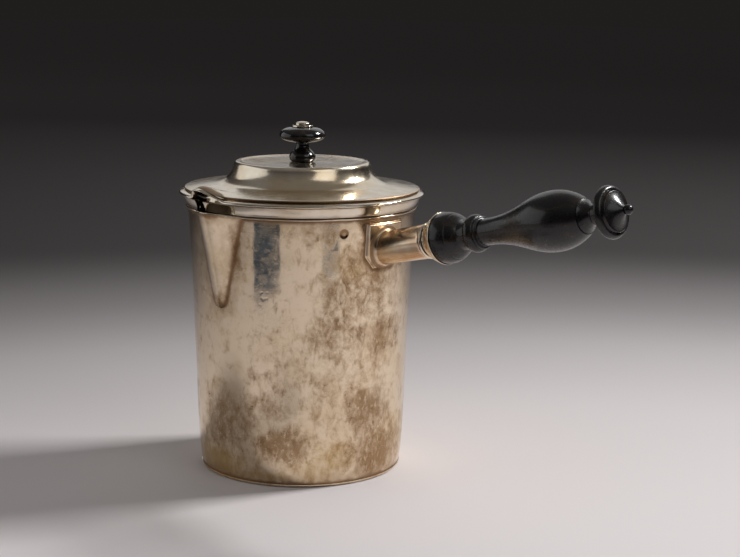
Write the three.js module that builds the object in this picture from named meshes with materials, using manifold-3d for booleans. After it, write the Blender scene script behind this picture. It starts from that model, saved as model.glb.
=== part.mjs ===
// Travel milk jug: a tapering silver jug with a folded spout, a lift-off lid and an ebony handle
// that unscrews for packing. Millimetres, +Z up. The origin is the centre of the foot. The handle
// points along +X and tilts up, and the spout points along -Y.

import * as THREE from 'three';
import { mergeGeometries, mergeVertices } from 'three/addons/utils/BufferGeometryUtils.js';
import Module from 'manifold-3d';

const wasm = await Module();
wasm.setup();

// Fits
const SEAT = 0.3; // left between pieces that are soldered, screwed or rest on each other
const LID_CLEARANCE = 0.5; // bezel to the inside of the wall
const SCREW_CLEARANCE = 0.3; // screws and studs in plain or threaded holes

// Wall: a straight taper that turns in at the foot and out at the mouth
const JUG_HEIGHT = 121.9; // table to the top of the mouth wire
const FOOT_RADIUS = 47.3; // the straight taper carried down to the table
const MOUTH_RADIUS = 51.55; // the straight taper carried up to the mouth
const FOOT_TUCK = 1.2; // the foot turns in by this much
const TUCK_POWER = 16; // higher keeps the turn closer to the foot
const MOUTH_FLARE = 1.1; // the mouth turns out by this much
const FLARE_POWER = 6; // higher keeps the flare closer to the mouth
const WALL = 1.1;

// Base sheet and mouth wire
const BASE_THICKNESS = 1.3;
const BASE_PROUD = 0.25; // base sheet beyond the wall
const BASE_CORNER = 0.9;
const WIRE_HEIGHT = 1.1;
const WIRE_PROUD = 0.75; // mouth wire beyond the wall

// Spout: a V folded from sheet, laid over a narrower cut in the wall
const SPOUT_TIP = 79.8; // height of the foot of the V
const SPOUT_TIP_ROUND = 4.4;
const SPOUT_FLANK = degrees(15.3); // each crease from upright
const SPOUT_REACH = 7.7; // nose beyond the wall at the lip
const SPOUT_TIP_REACH = 1.1; // nose beyond the wall just above the tip
const SPOUT_FLARE_POWER = 1.35; // higher keeps the nose low for longer
const SPOUT_RIDGE = 0.4; // roundness of the nose, as a share of the half width
const SPOUT_SHEET = 0.9;
const SPOUT_LIP_RISE = 1.2; // nose of the lip above its ends
const SPOUT_LIP_HEIGHT = 1;
const SPOUT_LIP_PROUD = 0.6;
const SPOUT_CUT_INSET = 2.7; // crease to the edge of the cut in the wall

// Handle axis: crosses the jug's axis and climbs outward
const HANDLE_TILT = degrees(13.4);

// Reinforcing patch on the wall under the handle socket
const PLATE_HALF_WIDTH = 10.4;
const PLATE_THICKNESS = 1;
const PLATE_ABOVE = 11.32; // handle axis up to its upper edge
const PLATE_BELOW = 8.4; // handle axis down to its lower edge
const PLATE_GAP = 2.4; // mouth wire down to its upper edge
const PLATE_CANT_WIDTH = 4.6;
const PLATE_CANT_HEIGHT = 5.5;

// Socket tube, its bush and the loose ring
const SOCKET_LENGTH = 25.9;
const SOCKET_ROOT_RADIUS = 7.2;
const SOCKET_END_RADIUS = 7.55;
const SOCKET_WALL = 1.3;
const SOCKET_FILLET = 1.9; // solder fillet round the root
const BUSH_LENGTH = 14;
const RING_RADIUS = 7.9;
const RING_THICKNESS = 1.1;
const RING_PLAY = 0.5; // ring to the ferrule

// Screwed stud and the ferrule cup that takes the ball of the grip
const STUD_RADIUS = 2;
const STUD_IN_GRIP = 12.2; // from the back of the grip
const FERRULE_BACK_RADIUS = 7.9;
const FERRULE_BACK_LAND = 0.8; // straight band behind the flare
const FERRULE_RIM_RADIUS = 11.4;
const FERRULE_LENGTH = 7.4;
const FERRULE_WALL = 0.9; // at the rim
const FERRULE_FLOOR = 2;

// Ebony grip, from the ferrule outward
const BALL_RADIUS = 11.03;
const BALL_AHEAD = 2.13; // rim of the ferrule to the ball's centre
const BALL_NECK_RADIUS = 6.4;
const NECK_LENGTH = 4; // ball to bead
const BEAD_LENGTH = 5.2;
const BEAD_RADIUS = 8.1;
const BEAD_FOOT_RADIUS = 6.2;
const FLANGE_RADIUS = 7;
const FLANGE_LENGTH = 1.3;
const WAIST_GAP = 1; // flange to waist
const WAIST_RADIUS = 5.7;
const SWELL_LENGTH = 36; // waist to the thickest part
const BELLY_RADIUS = 12.5;
const TAPER_LENGTH = 15.6; // thickest part to the shoulder groove
const SHOULDER_RADIUS = 7.4;
const SHOULDER_GROOVE = 0.5;
const COVE_LENGTH = 4.6;
const TAIL_RADIUS = 4.2;
const TENON_RADIUS = 2.2;
const TENON_LENGTH = 8;

// Turned end of the handle
const END_NECK_RADIUS = 4.6;
const END_NECK_LENGTH = 4.9;
const END_BOWL_LENGTH = 1.9;
const END_RIM_RADIUS = 10.7;
const END_RIM_LENGTH = 2.2;
const END_RIM_ROUND = 1.6;
const END_STEP_RADIUS = 8.7;
const END_STEP_LENGTH = 0.9;
const END_STEP_TAPER = 0.5;
const END_CONE_LENGTH = 3.8;
const END_CONE_HOLLOW = 4.6; // radius that the cone curves toward
const END_CONE_TIP_RADIUS = 1.5;
const END_BALL_RADIUS = 2.05;

// Lid: border wire, cove band below it and bezel inside the mouth
const LID_TURN = degrees(-5); // the lid lies turned a little from the spout
const BORDER_PROUD = 3; // border wire beyond the mouth wire
const BORDER_WIDTH = 2.05; // round part of the border
const BORDER_HEIGHT = 2.4;
const BORDER_TONGUE = 1.3; // flat part that lies under the brim
const TONGUE_DROP = 0.6; // top of the border down to that flat
const SKIRT_HEIGHT = 4.4;
const SKIRT_PROUD = 0.15; // foot of the cove band beyond the mouth wire
const SKIRT_FLARE = 1.4;
const SKIRT_THICKNESS = 1.2;
const NOTCH_HALF_ANGLE = degrees(3.8); // pouring notch in the cove band
const NOTCH_TURN = degrees(-6); // from the middle of the hood
const BEZEL_DEPTH = 8.9; // below the mouth
const BEZEL_THICKNESS = 1;
const BEZEL_NOTCH_HALF_ANGLE = degrees(13.5);
const BEZEL_NOTCH_TOP = 3.8; // above the mouth
const NOTCH_ROUND = 1.6;

// Hood: the arch of the border over the spout
const HOOD_HALF_ANGLE = degrees(13.5);
const HOOD_RISE = 3.8;
const HOOD_REACH = 3.7;
const HOOD_ROOT = 8; // the arch dies out this far inside the border

// Crown: sloping brim, hollow neck and flat topped dome in one sheet
const CROWN_SHEET = 0.9;
const BRIM_INSET = 2.35; // edge of the border to the edge of the brim
const BRIM_RISE = 2.4;
const DOME_FOOT_RADIUS = 37;
const DOME_NECK_RADIUS = 31.6;
const DOME_NECK_RISE = 7;
const DOME_TOP_RADIUS = 30.1;
const DOME_TOP_RISE = 2.2;
const DOME_RECESS = 0.35;
const DOME_RIM_WIDTH = 1.8;

// Finial: ebony knob held by a long screw
const FINIAL_SCREW_RADIUS = 1.2;
const KNOB_FOOT_RADIUS = 5.2;
const KNOB_BASE_RADIUS = 6;
const KNOB_BASE_HEIGHT = 5.4;
const KNOB_SHOULDER_RADIUS = 3.7;
const KNOB_NECK_RADIUS = 2.75;
const KNOB_NECK_HEIGHT = 3.3;
const KNOB_CAP_RADIUS = 10.6;
const KNOB_CAP_HEIGHT = 6.8;
const KNOB_CAP_EDGE = 0.44; // height of the widest part, as a share of the cap
const KNOB_TOP_RADIUS = 5;
const FINIAL_WASHER_RADIUS = 4.7;
const FINIAL_WASHER_THICKNESS = 0.6;
const BUTTON_RADIUS = 3.2;
const BUTTON_HEIGHT = 1.5;
const BACKPLATE_RADIUS = 9;
const BACKPLATE_THICKNESS = 1;
const NUT_ACROSS_FLATS = 7;
const NUT_HEIGHT = 2.4;
const SCREW_END = 1.2; // screw beyond the nut

// Facets
const RING_SEGMENTS = 42;
const HOOD_SEGMENTS = 10;
const HANDLE_SEGMENTS = 24;
const KNOB_SEGMENTS = 20;

// Materials
const silver = { color: 0xbfb39c, roughness: 0.32, metalness: 1 };
const solderedSilver = { color: 0xb8a98c, roughness: 0.4, metalness: 1 };
const ebony = { color: 0x15110f, roughness: 0.35, metalness: 0 };
const polishedEbony = { color: 0x0d0b0a, roughness: 0.15, metalness: 0 };
const steel = { color: 0x8d8a84, roughness: 0.45, metalness: 1 };

// Heights and radii that follow from the sizes above
const wallTop = JUG_HEIGHT - WIRE_HEIGHT;
const mouthWireRadius = wallRadius(JUG_HEIGHT) + WIRE_PROUD;
const plateTop = wallTop - PLATE_GAP;
const plateRootHeight = plateTop - PLATE_ABOVE;
const plateBottom = plateRootHeight - PLATE_BELOW;
const handleHeight = plateRootHeight - MOUTH_RADIUS * Math.tan(HANDLE_TILT);
const socketStart = plateOuterRadius(plateRootHeight) / Math.cos(HANDLE_TILT);
const socketEnd = socketStart + SOCKET_LENGTH;
const socketBore = Math.min(SOCKET_ROOT_RADIUS, SOCKET_END_RADIUS) - SOCKET_WALL;
const ringStart = socketEnd + SEAT;
const ferruleStart = ringStart + RING_THICKNESS + RING_PLAY;
const ferruleRim = ferruleStart + FERRULE_LENGTH;
const gripBack = ferruleStart + FERRULE_FLOOR + SEAT;
const ballCentre = ferruleRim + BALL_AHEAD;
const studHole = STUD_RADIUS + SCREW_CLEARANCE;
const beadStart = ballCentre + chordReach(BALL_RADIUS, BALL_NECK_RADIUS) + NECK_LENGTH;
const flangeStart = beadStart + BEAD_LENGTH;
const waistStart = flangeStart + FLANGE_LENGTH + WAIST_GAP;
const bellyAt = waistStart + SWELL_LENGTH;
const shoulderAt = bellyAt + TAPER_LENGTH;
const gripEnd = shoulderAt + COVE_LENGTH;
const endStart = gripEnd + SEAT;
const skirtBottom = JUG_HEIGHT + SEAT;
const borderBottom = skirtBottom + SKIRT_HEIGHT + SEAT;
const borderTop = borderBottom + BORDER_HEIGHT;
const borderRadius = mouthWireRadius + BORDER_PROUD;
const brimBottom = borderTop - TONGUE_DROP + SEAT;
const brimRadius = borderRadius - BRIM_INSET;
const domeFootHeight = brimBottom + CROWN_SHEET + BRIM_RISE;
const domeTop = domeFootHeight + DOME_NECK_RISE + DOME_TOP_RISE;
const crownTop = domeTop - DOME_RECESS;
const bezelBottom = JUG_HEIGHT - BEZEL_DEPTH;
const bezelRadius = wallRadius(bezelBottom) - WALL - LID_CLEARANCE;
const screwHole = FINIAL_SCREW_RADIUS + SCREW_CLEARANCE;
const knobBottom = crownTop + SEAT;
const knobTop = knobBottom + KNOB_BASE_HEIGHT + KNOB_NECK_HEIGHT + KNOB_CAP_HEIGHT;
const washerBottom = knobTop + SEAT;
const buttonBottom = washerBottom + FINIAL_WASHER_THICKNESS + SEAT;
const backplateTop = crownTop - CROWN_SHEET - SEAT;
const nutTop = backplateTop - BACKPLATE_THICKNESS - SEAT;

// Small helpers

function degrees(angle) {
  return THREE.MathUtils.degToRad(angle);
}

function point(x, y) {
  return new THREE.Vector2(x, y);
}

// Distance from a ball's centre to the plane where its section has the given radius.
function chordReach(ball, section) {
  return Math.sqrt(Math.max(0, ball * ball - section * section));
}

// Values from 0 to 1 in equal steps.
function steps(count) {
  return Array.from({ length: count + 1 }, (_, k) => k / count);
}

// Points on an elliptic arc, from one angle to another.
function arc(x, y, radiusX, radiusY, from, to, count) {
  return steps(count).map((k) => {
    const angle = from + (to - from) * k;
    return point(x + radiusX * Math.cos(angle), y + radiusY * Math.sin(angle));
  });
}

function bend(start, control, end, count) {
  return new THREE.QuadraticBezierCurve(start, control, end).getPoints(count);
}

function closed(profile) {
  return [...profile, profile[0]];
}

// Sheet metal from the outline of one face, thickened to the left of its direction.
function sheet(face, thickness) {
  const other = face.map((p, k) => {
    const before = face[Math.max(k - 1, 0)];
    const after = face[Math.min(k + 1, face.length - 1)];
    const along = after.clone().sub(before).normalize();
    return point(p.x - along.y * thickness, p.y + along.x * thickness);
  });
  return closed([...other.reverse(), ...face]);
}

// Solid of revolution about +Z. The angle is 0 at -Y and grows toward +X.
function turned(profile, segments, start = 0, length = 2 * Math.PI) {
  return new THREE.LatheGeometry(profile, segments, start, length).rotateX(Math.PI / 2);
}

// Solid of revolution with finer facets where the hood is.
function turnedWithHood(profile) {
  const fine = turned(profile, HOOD_SEGMENTS, -HOOD_HALF_ANGLE, 2 * HOOD_HALF_ANGLE);
  const coarse = turned(
    profile,
    RING_SEGMENTS - Math.round((RING_SEGMENTS * HOOD_HALF_ANGLE) / Math.PI),
    HOOD_HALF_ANGLE,
    2 * Math.PI - 2 * HOOD_HALF_ANGLE,
  );
  return mergeGeometries([fine, coarse]);
}

// Prism of an outline drawn in X and Z, running from the axis out past the spout.
function towardSpout(outline, depth) {
  const options = { depth, bevelEnabled: false, curveSegments: 6 };
  return new THREE.ExtrudeGeometry(outline, options).rotateX(Math.PI / 2);
}

// Prism of an outline drawn in Y and Z, running from the axis out past the handle.
function towardHandle(outline, depth) {
  return towardSpout(outline, depth).rotateZ(Math.PI / 2);
}

// One closed surface with shared corners and no collapsed triangles.
function weld(geometry) {
  const bare = geometry.clone();
  bare.deleteAttribute('normal');
  bare.deleteAttribute('uv');
  const merged = mergeVertices(bare, 1e-4);
  const old = merged.index.array;
  const kept = [];
  for (let k = 0; k < old.length; k += 3) {
    const [a, b, c] = old.slice(k, k + 3);
    if (a !== b && b !== c && c !== a) kept.push(a, b, c);
  }
  merged.setIndex(kept);
  merged.computeVertexNormals();
  return merged;
}

function toSolid(geometry) {
  const merged = weld(geometry);
  const vertProperties = new Float32Array(merged.attributes.position.array);
  const triVerts = new Uint32Array(merged.index.array);
  return new wasm.Manifold(new wasm.Mesh({ numProp: 3, vertProperties, triVerts }));
}

function toGeometry(solid) {
  const mesh = solid.getMesh();
  const geometry = new THREE.BufferGeometry();
  geometry.setAttribute('position', new THREE.BufferAttribute(mesh.vertProperties, 3));
  geometry.setIndex(new THREE.BufferAttribute(mesh.triVerts, 1));
  geometry.computeVertexNormals();
  return geometry;
}

function cut(geometry, tool) {
  return toGeometry(toSolid(geometry).subtract(toSolid(tool)));
}

function common(geometry, tool) {
  return toGeometry(toSolid(geometry).intersect(toSolid(tool)));
}

function piece(name, geometry, look) {
  const mesh = new THREE.Mesh(weld(geometry), new THREE.MeshStandardMaterial(look));
  mesh.name = name;
  return mesh;
}

// Jug wall

function wallRadius(z) {
  const rise = z / JUG_HEIGHT;
  const straight = FOOT_RADIUS + (MOUTH_RADIUS - FOOT_RADIUS) * rise;
  const tuck = FOOT_TUCK * Math.pow(Math.max(1 - rise, 0), TUCK_POWER);
  return straight - tuck + MOUTH_FLARE * Math.pow(Math.max(rise, 0), FLARE_POWER);
}

// Outline of the wall at an offset, with closer points at the foot and mouth.
function wallLine(offset, bottom, top, count) {
  return steps(count).map((k) => {
    const z = bottom + ((top - bottom) * (1 - Math.cos(Math.PI * k))) / 2;
    return point(wallRadius(z) + offset, z);
  });
}

function wallBand(innerOffset, outerOffset, bottom, top, count) {
  const outer = wallLine(outerOffset, bottom, top, count);
  const inner = wallLine(innerOffset, bottom, top, count);
  return turned(closed([...outer, ...inner.reverse()]), RING_SEGMENTS);
}

// The V of the spout, parallel to its creases and this far inside them.
function spoutOutline(inset, top) {
  const round = Math.max(SPOUT_TIP_ROUND - inset, SPOUT_SHEET);
  const centre = SPOUT_TIP + SPOUT_TIP_ROUND;
  const half = spoutHalfWidth(top) - inset / Math.cos(SPOUT_FLANK);
  const outline = new THREE.Shape();
  outline.moveTo(half, top);
  outline.lineTo(-half, top);
  outline.absarc(0, centre, round, Math.PI + SPOUT_FLANK, 2 * Math.PI - SPOUT_FLANK, false);
  return outline;
}

function bodyWall() {
  const wall = wallBand(-WALL, 0, BASE_THICKNESS, wallTop, 8);
  const outline = spoutOutline(SPOUT_CUT_INSET, JUG_HEIGHT);
  return cut(wall, towardSpout(outline, 2 * MOUTH_RADIUS));
}

function baseDisc() {
  const radius = wallRadius(BASE_THICKNESS) + BASE_PROUD;
  const corner = Math.min(BASE_CORNER, BASE_THICKNESS);
  const edge = arc(radius - corner, corner, corner, corner, -Math.PI / 2, 0, 3);
  const profile = [point(0, 0), ...edge, point(radius, BASE_THICKNESS), point(0, BASE_THICKNESS)];
  return turned(profile, RING_SEGMENTS);
}

function mouthWire() {
  const half = WIRE_HEIGHT / 2;
  const inner = wallRadius(wallTop) - WALL;
  const edge = arc(mouthWireRadius - half, wallTop + half, half, half, -Math.PI / 2, Math.PI / 2, 4);
  const ring = turned(closed([point(inner, wallTop), ...edge, point(inner, JUG_HEIGHT)]), RING_SEGMENTS);
  const opening = spoutHalfWidth(JUG_HEIGHT) + SEAT;
  const gap = new THREE.Shape([
    point(-opening, wallTop - SEAT),
    point(opening, wallTop - SEAT),
    point(opening, JUG_HEIGHT + SEAT),
    point(-opening, JUG_HEIGHT + SEAT),
  ]);
  return cut(ring, towardSpout(gap, 2 * MOUTH_RADIUS));
}

// Spout

// Half the width between the creases at a height.
function spoutHalfWidth(z) {
  const centre = SPOUT_TIP + SPOUT_TIP_ROUND;
  const tangent = centre - SPOUT_TIP_ROUND * Math.sin(SPOUT_FLANK);
  if (z < tangent) return chordReach(SPOUT_TIP_ROUND, centre - z);
  return SPOUT_TIP_ROUND * Math.cos(SPOUT_FLANK) + (z - tangent) * Math.tan(SPOUT_FLANK);
}

// Rounded V across the spout: 1 at the nose and 0 at the creases.
function spoutSection(across) {
  const edge = Math.hypot(1, SPOUT_RIDGE);
  return (edge - Math.hypot(across, SPOUT_RIDGE)) / (edge - SPOUT_RIDGE);
}

// How far the nose stands out from the wall at a height.
function spoutReach(z) {
  const rise = Math.max((z - SPOUT_TIP) / (JUG_HEIGHT - SPOUT_TIP), 0);
  const reach = SPOUT_TIP_REACH + (SPOUT_REACH - SPOUT_TIP_REACH) * Math.pow(rise, SPOUT_FLARE_POWER);
  return reach * Math.min(spoutHalfWidth(z) / SPOUT_TIP_ROUND, 1);
}

// A point on the spout's outer face, and the one on the wall behind it.
function spoutPoint(across, z, proud) {
  const x = across * spoutHalfWidth(z);
  const onWall = Math.sqrt((wallRadius(z) + SEAT) ** 2 - x * x);
  return [x, -(onWall + spoutReach(z) * spoutSection(across) + proud), z];
}

function wallPoint(across, z, depth) {
  const x = across * spoutHalfWidth(z);
  const onWall = Math.sqrt((wallRadius(z) + SEAT) ** 2 - x * x);
  return [x, -(onWall - depth), z];
}

// Closed block between the spout's outer face and the wall. Each row gives, for a place across
// the spout, its height and how far it stands proud.
function spoutBlock(rows, depth) {
  const across = steps(14).map((k) => 2 * k - 1);
  const positions = [];
  for (const row of rows) {
    const front = across.map((u) => spoutPoint(u, row.height(u), row.proud));
    const back = across.map((u) => wallPoint(u, row.height(u), depth));
    positions.push(...front.flat(), ...back.reverse().flat());
  }
  const loop = 2 * across.length;
  const indices = [];
  for (let r = 0; r + 1 < rows.length; r += 1) {
    for (let k = 0; k < loop; k += 1) {
      const a = r * loop + k;
      const b = r * loop + ((k + 1) % loop);
      indices.push(a, b, b + loop, a, b + loop, a + loop);
    }
  }
  const top = (rows.length - 1) * loop;
  for (let k = 0; k + 1 < across.length; k += 1) {
    const frontHere = top + k;
    const backHere = top + loop - 1 - k;
    indices.push(frontHere, frontHere + 1, backHere - 1, frontHere, backHere - 1, backHere);
  }
  const geometry = new THREE.BufferGeometry();
  geometry.setAttribute('position', new THREE.Float32BufferAttribute(positions, 3));
  geometry.setIndex(indices);
  return geometry;
}

function spoutRows(topAt, count) {
  return steps(count).map((k) => {
    const share = Math.pow(k, 1.7);
    return { height: (u) => SPOUT_TIP + (topAt(u) - SPOUT_TIP) * share, proud: 0 };
  });
}

// Thin folded sheet: the outer block less the same block moved in by the sheet's thickness.
function spoutBeak() {
  const lip = (u) => JUG_HEIGHT + SPOUT_LIP_RISE * spoutSection(u);
  const below = (drop) => (u) => lip(u) - drop;
  const rows = [
    ...spoutRows(below(SPOUT_LIP_HEIGHT), 11),
    { height: below(SPOUT_LIP_HEIGHT * 0.98), proud: SPOUT_LIP_PROUD * 0.8 },
    { height: below(SPOUT_LIP_HEIGHT * 0.5), proud: SPOUT_LIP_PROUD },
    { height: lip, proud: SPOUT_LIP_PROUD * 0.7 },
  ];
  const aboveLip = JUG_HEIGHT + SPOUT_LIP_RISE + SPOUT_LIP_HEIGHT;
  const hollow = spoutBlock(spoutRows(() => aboveLip, 11), SPOUT_REACH);
  hollow.translate(0, SPOUT_SHEET, SPOUT_SHEET);
  return cut(spoutBlock(rows, 0), hollow);
}

// Handle patch and socket, built in the jug's frame

function plateOuterRadius(z) {
  return wallRadius(z) + SEAT + PLATE_THICKNESS;
}

function handlePlate() {
  const sheetBand = wallBand(
    SEAT,
    SEAT + PLATE_THICKNESS,
    plateBottom - SEAT,
    plateTop + SEAT,
    4,
  );
  const outline = new THREE.Shape([
    point(-PLATE_HALF_WIDTH + PLATE_CANT_WIDTH, plateBottom),
    point(PLATE_HALF_WIDTH - PLATE_CANT_WIDTH, plateBottom),
    point(PLATE_HALF_WIDTH, plateBottom + PLATE_CANT_HEIGHT),
    point(PLATE_HALF_WIDTH, plateTop),
    point(-PLATE_HALF_WIDTH, plateTop),
    point(-PLATE_HALF_WIDTH, plateBottom + PLATE_CANT_HEIGHT),
  ]);
  return common(sheetBand, towardHandle(outline, 2 * MOUTH_RADIUS));
}

// Moves a piece turned about +Z onto the handle's axis.
function ontoHandle(geometry) {
  return geometry.rotateY(Math.PI / 2 - HANDLE_TILT).translate(0, 0, handleHeight);
}

// The tube's root is shaped to the patch.
function handleSocket() {
  const hidden = socketStart - SOCKET_FILLET * 3;
  const flare = socketStart + SOCKET_FILLET;
  const fillet = bend(
    point(SOCKET_ROOT_RADIUS + SOCKET_FILLET, socketStart - SOCKET_FILLET / 2),
    point(SOCKET_ROOT_RADIUS, socketStart),
    point(SOCKET_ROOT_RADIUS, flare),
    4,
  );
  const profile = closed([
    point(socketBore, hidden),
    point(SOCKET_ROOT_RADIUS + SOCKET_FILLET, hidden),
    ...fillet,
    point(SOCKET_END_RADIUS, socketEnd),
    point(socketBore, socketEnd),
  ]);
  const tube = ontoHandle(turned(profile, HANDLE_SEGMENTS));
  const seat = wallLine(SEAT * 2 + PLATE_THICKNESS, 0, JUG_HEIGHT, 16);
  const jug = turned([point(0, 0), ...seat, point(0, JUG_HEIGHT)], 4 * RING_SEGMENTS);
  return cut(tube, jug);
}

// Handle pieces, turned about +Z and laid on the handle's axis by their group

function tube(inner, outer, start, end, segments) {
  const profile = [point(inner, start), point(outer, start), point(outer, end), point(inner, end)];
  return turned(closed(profile), segments);
}

function rod(radius, start, end, segments) {
  const profile = [point(0, start), point(radius, start), point(radius, end), point(0, end)];
  return turned(profile, segments);
}

function socketBush() {
  const outer = socketBore - SEAT;
  return tube(studHole, outer, socketEnd - BUSH_LENGTH, socketEnd - SEAT, HANDLE_SEGMENTS);
}

function socketWasher() {
  const half = RING_THICKNESS / 2;
  const edge = arc(RING_RADIUS - half, ringStart + half, half, half, -Math.PI / 2, Math.PI / 2, 3);
  const end = ringStart + RING_THICKNESS;
  return turned(closed([point(studHole, ringStart), ...edge, point(studHole, end)]), HANDLE_SEGMENTS);
}

function handleStud() {
  const start = socketEnd - BUSH_LENGTH + SEAT;
  return rod(STUD_RADIUS, start, gripBack + STUD_IN_GRIP, KNOB_SEGMENTS);
}

// Flared cup with a flat floor. The tail of the grip sits in it, and the ball's shoulder on its rim.
function handleFerrule() {
  const spread = FERRULE_RIM_RADIUS - FERRULE_BACK_RADIUS;
  const flare = bend(
    point(FERRULE_BACK_RADIUS, ferruleStart + FERRULE_BACK_LAND),
    point(FERRULE_BACK_RADIUS + 0.6 * spread, ferruleStart + 0.42 * FERRULE_LENGTH),
    point(FERRULE_RIM_RADIUS, ferruleRim),
    5,
  );
  const floor = ferruleStart + FERRULE_FLOOR;
  return turned(
    closed([
      point(studHole, ferruleStart),
      point(FERRULE_BACK_RADIUS, ferruleStart),
      ...flare,
      point(FERRULE_RIM_RADIUS - FERRULE_WALL, ferruleRim),
      point(FERRULE_BACK_RADIUS, floor),
      point(studHole, floor),
    ]),
    HANDLE_SEGMENTS,
  );
}

// Swelling baluster from the waist to the shoulder.
function balusterLine() {
  const swell = steps(7).map((k) => {
    const rise = (1 - Math.cos(Math.PI * Math.pow(k, 1.25))) / 2;
    return point(WAIST_RADIUS + (BELLY_RADIUS - WAIST_RADIUS) * rise, waistStart + SWELL_LENGTH * k);
  });
  const taper = steps(5).slice(1).map((k) => {
    const fall = Math.pow(k, 2.2);
    return point(BELLY_RADIUS - (BELLY_RADIUS - SHOULDER_RADIUS) * fall, bellyAt + TAPER_LENGTH * k);
  });
  return [...swell, ...taper];
}

// Tail, ball, bead and baluster in one turned piece, bored for the stud and for the end's tenon.
function handleGrip() {
  const boreEnd = gripBack + STUD_IN_GRIP + SEAT;
  const from = -Math.asin((BALL_AHEAD - SEAT) / BALL_RADIUS);
  const to = Math.acos(BALL_NECK_RADIUS / BALL_RADIUS);
  const ball = arc(0, ballCentre, BALL_RADIUS, BALL_RADIUS, from, to, 6);
  const bead = steps(6).map((k) => {
    const swell = (BEAD_RADIUS - BEAD_FOOT_RADIUS) * Math.sqrt(Math.sin(Math.PI * k));
    return point(BEAD_FOOT_RADIUS + swell, beadStart + BEAD_LENGTH * k);
  });
  const flangeEnd = flangeStart + FLANGE_LENGTH;
  const flange = [point(FLANGE_RADIUS, flangeStart), point(FLANGE_RADIUS, flangeEnd)];
  const cove = steps(4).map((k) => {
    const start = SHOULDER_RADIUS - SHOULDER_GROOVE;
    const radius = TAIL_RADIUS + (start - TAIL_RADIUS) * (1 - k) ** 2;
    return point(radius, shoulderAt + COVE_LENGTH * k);
  });
  const tenonHole = TENON_RADIUS + SCREW_CLEARANCE;
  const tenonEnd = gripEnd - TENON_LENGTH - SEAT;
  return turned(
    [
      point(0, boreEnd),
      point(studHole, boreEnd),
      point(studHole, gripBack),
      point(FERRULE_BACK_RADIUS - SEAT, gripBack),
      point(FERRULE_RIM_RADIUS - FERRULE_WALL - SEAT, ferruleRim + SEAT),
      ...ball,
      ...bead,
      ...flange,
      ...balusterLine(),
      ...cove,
      point(tenonHole, gripEnd),
      point(tenonHole, tenonEnd),
      point(0, tenonEnd),
    ],
    HANDLE_SEGMENTS,
  );
}

// Bowl backed disc on a neck, with a stepped face, a hollow cone and a small tip.
function handleEnd() {
  const rimStart = endStart + END_NECK_LENGTH + END_BOWL_LENGTH;
  const bowl = arc(
    END_NECK_RADIUS,
    rimStart,
    END_RIM_RADIUS - END_NECK_RADIUS,
    END_BOWL_LENGTH,
    -Math.PI / 2,
    0,
    5,
  );
  const land = END_RIM_RADIUS - END_RIM_ROUND;
  const round = arc(land, rimStart, END_RIM_ROUND, END_RIM_LENGTH, 0, Math.PI / 2, 3).slice(1);
  const stepStart = rimStart + END_RIM_LENGTH;
  const coneStart = stepStart + END_STEP_LENGTH;
  const coneEnd = coneStart + END_CONE_LENGTH;
  const cone = bend(
    point(END_STEP_RADIUS - END_STEP_TAPER, coneStart),
    point(END_CONE_HOLLOW, coneStart + END_CONE_LENGTH / 4),
    point(END_CONE_TIP_RADIUS, coneEnd),
    4,
  );
  const tipCentre = coneEnd + chordReach(END_BALL_RADIUS, END_CONE_TIP_RADIUS);
  const tipFrom = -Math.acos(Math.min(END_CONE_TIP_RADIUS / END_BALL_RADIUS, 1));
  const tip = arc(0, tipCentre, END_BALL_RADIUS, END_BALL_RADIUS, tipFrom, Math.PI / 2, 5);
  const tenonStart = gripEnd - TENON_LENGTH;
  return turned(
    [
      point(0, tenonStart),
      point(TENON_RADIUS, tenonStart),
      point(TENON_RADIUS, endStart),
      point(END_NECK_RADIUS, endStart),
      ...bowl,
      ...round,
      point(END_STEP_RADIUS, stepStart),
      ...cone,
      ...tip,
    ],
    HANDLE_SEGMENTS,
  );
}

// Lid

// Lifts the rim of the lid up and out over the spout, in a bell shape that dies out inward.
function raiseHood(geometry) {
  const place = geometry.attributes.position;
  const full = borderRadius - BORDER_WIDTH - BORDER_TONGUE;
  for (let k = 0; k < place.count; k += 1) {
    const x = place.getX(k);
    const y = place.getY(k);
    const radius = Math.hypot(x, y);
    const angle = Math.min(Math.abs(Math.atan2(x, -y)) / HOOD_HALF_ANGLE, 1);
    const fade = THREE.MathUtils.smoothstep(radius, full - HOOD_ROOT, full);
    const bell = fade * (0.5 + 0.5 * Math.cos(Math.PI * angle));
    const moved = radius > 0 ? 1 + (HOOD_REACH * bell) / radius : 1;
    place.setXYZ(k, x * moved, y * moved, place.getZ(k) + HOOD_RISE * bell);
  }
  return geometry;
}

// Half round wire with a flat tongue that lies under the brim.
function lidBorder() {
  const centre = borderRadius - BORDER_WIDTH;
  const half = BORDER_HEIGHT / 2;
  const edge = arc(centre, borderBottom + half, BORDER_WIDTH, half, -Math.PI / 2, Math.PI / 2, 7);
  const inner = centre - BORDER_TONGUE;
  const tongue = borderTop - TONGUE_DROP;
  const profile = [point(inner, borderBottom), ...edge, point(centre, tongue), point(inner, tongue)];
  return raiseHood(turnedWithHood(closed(profile)));
}

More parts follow.
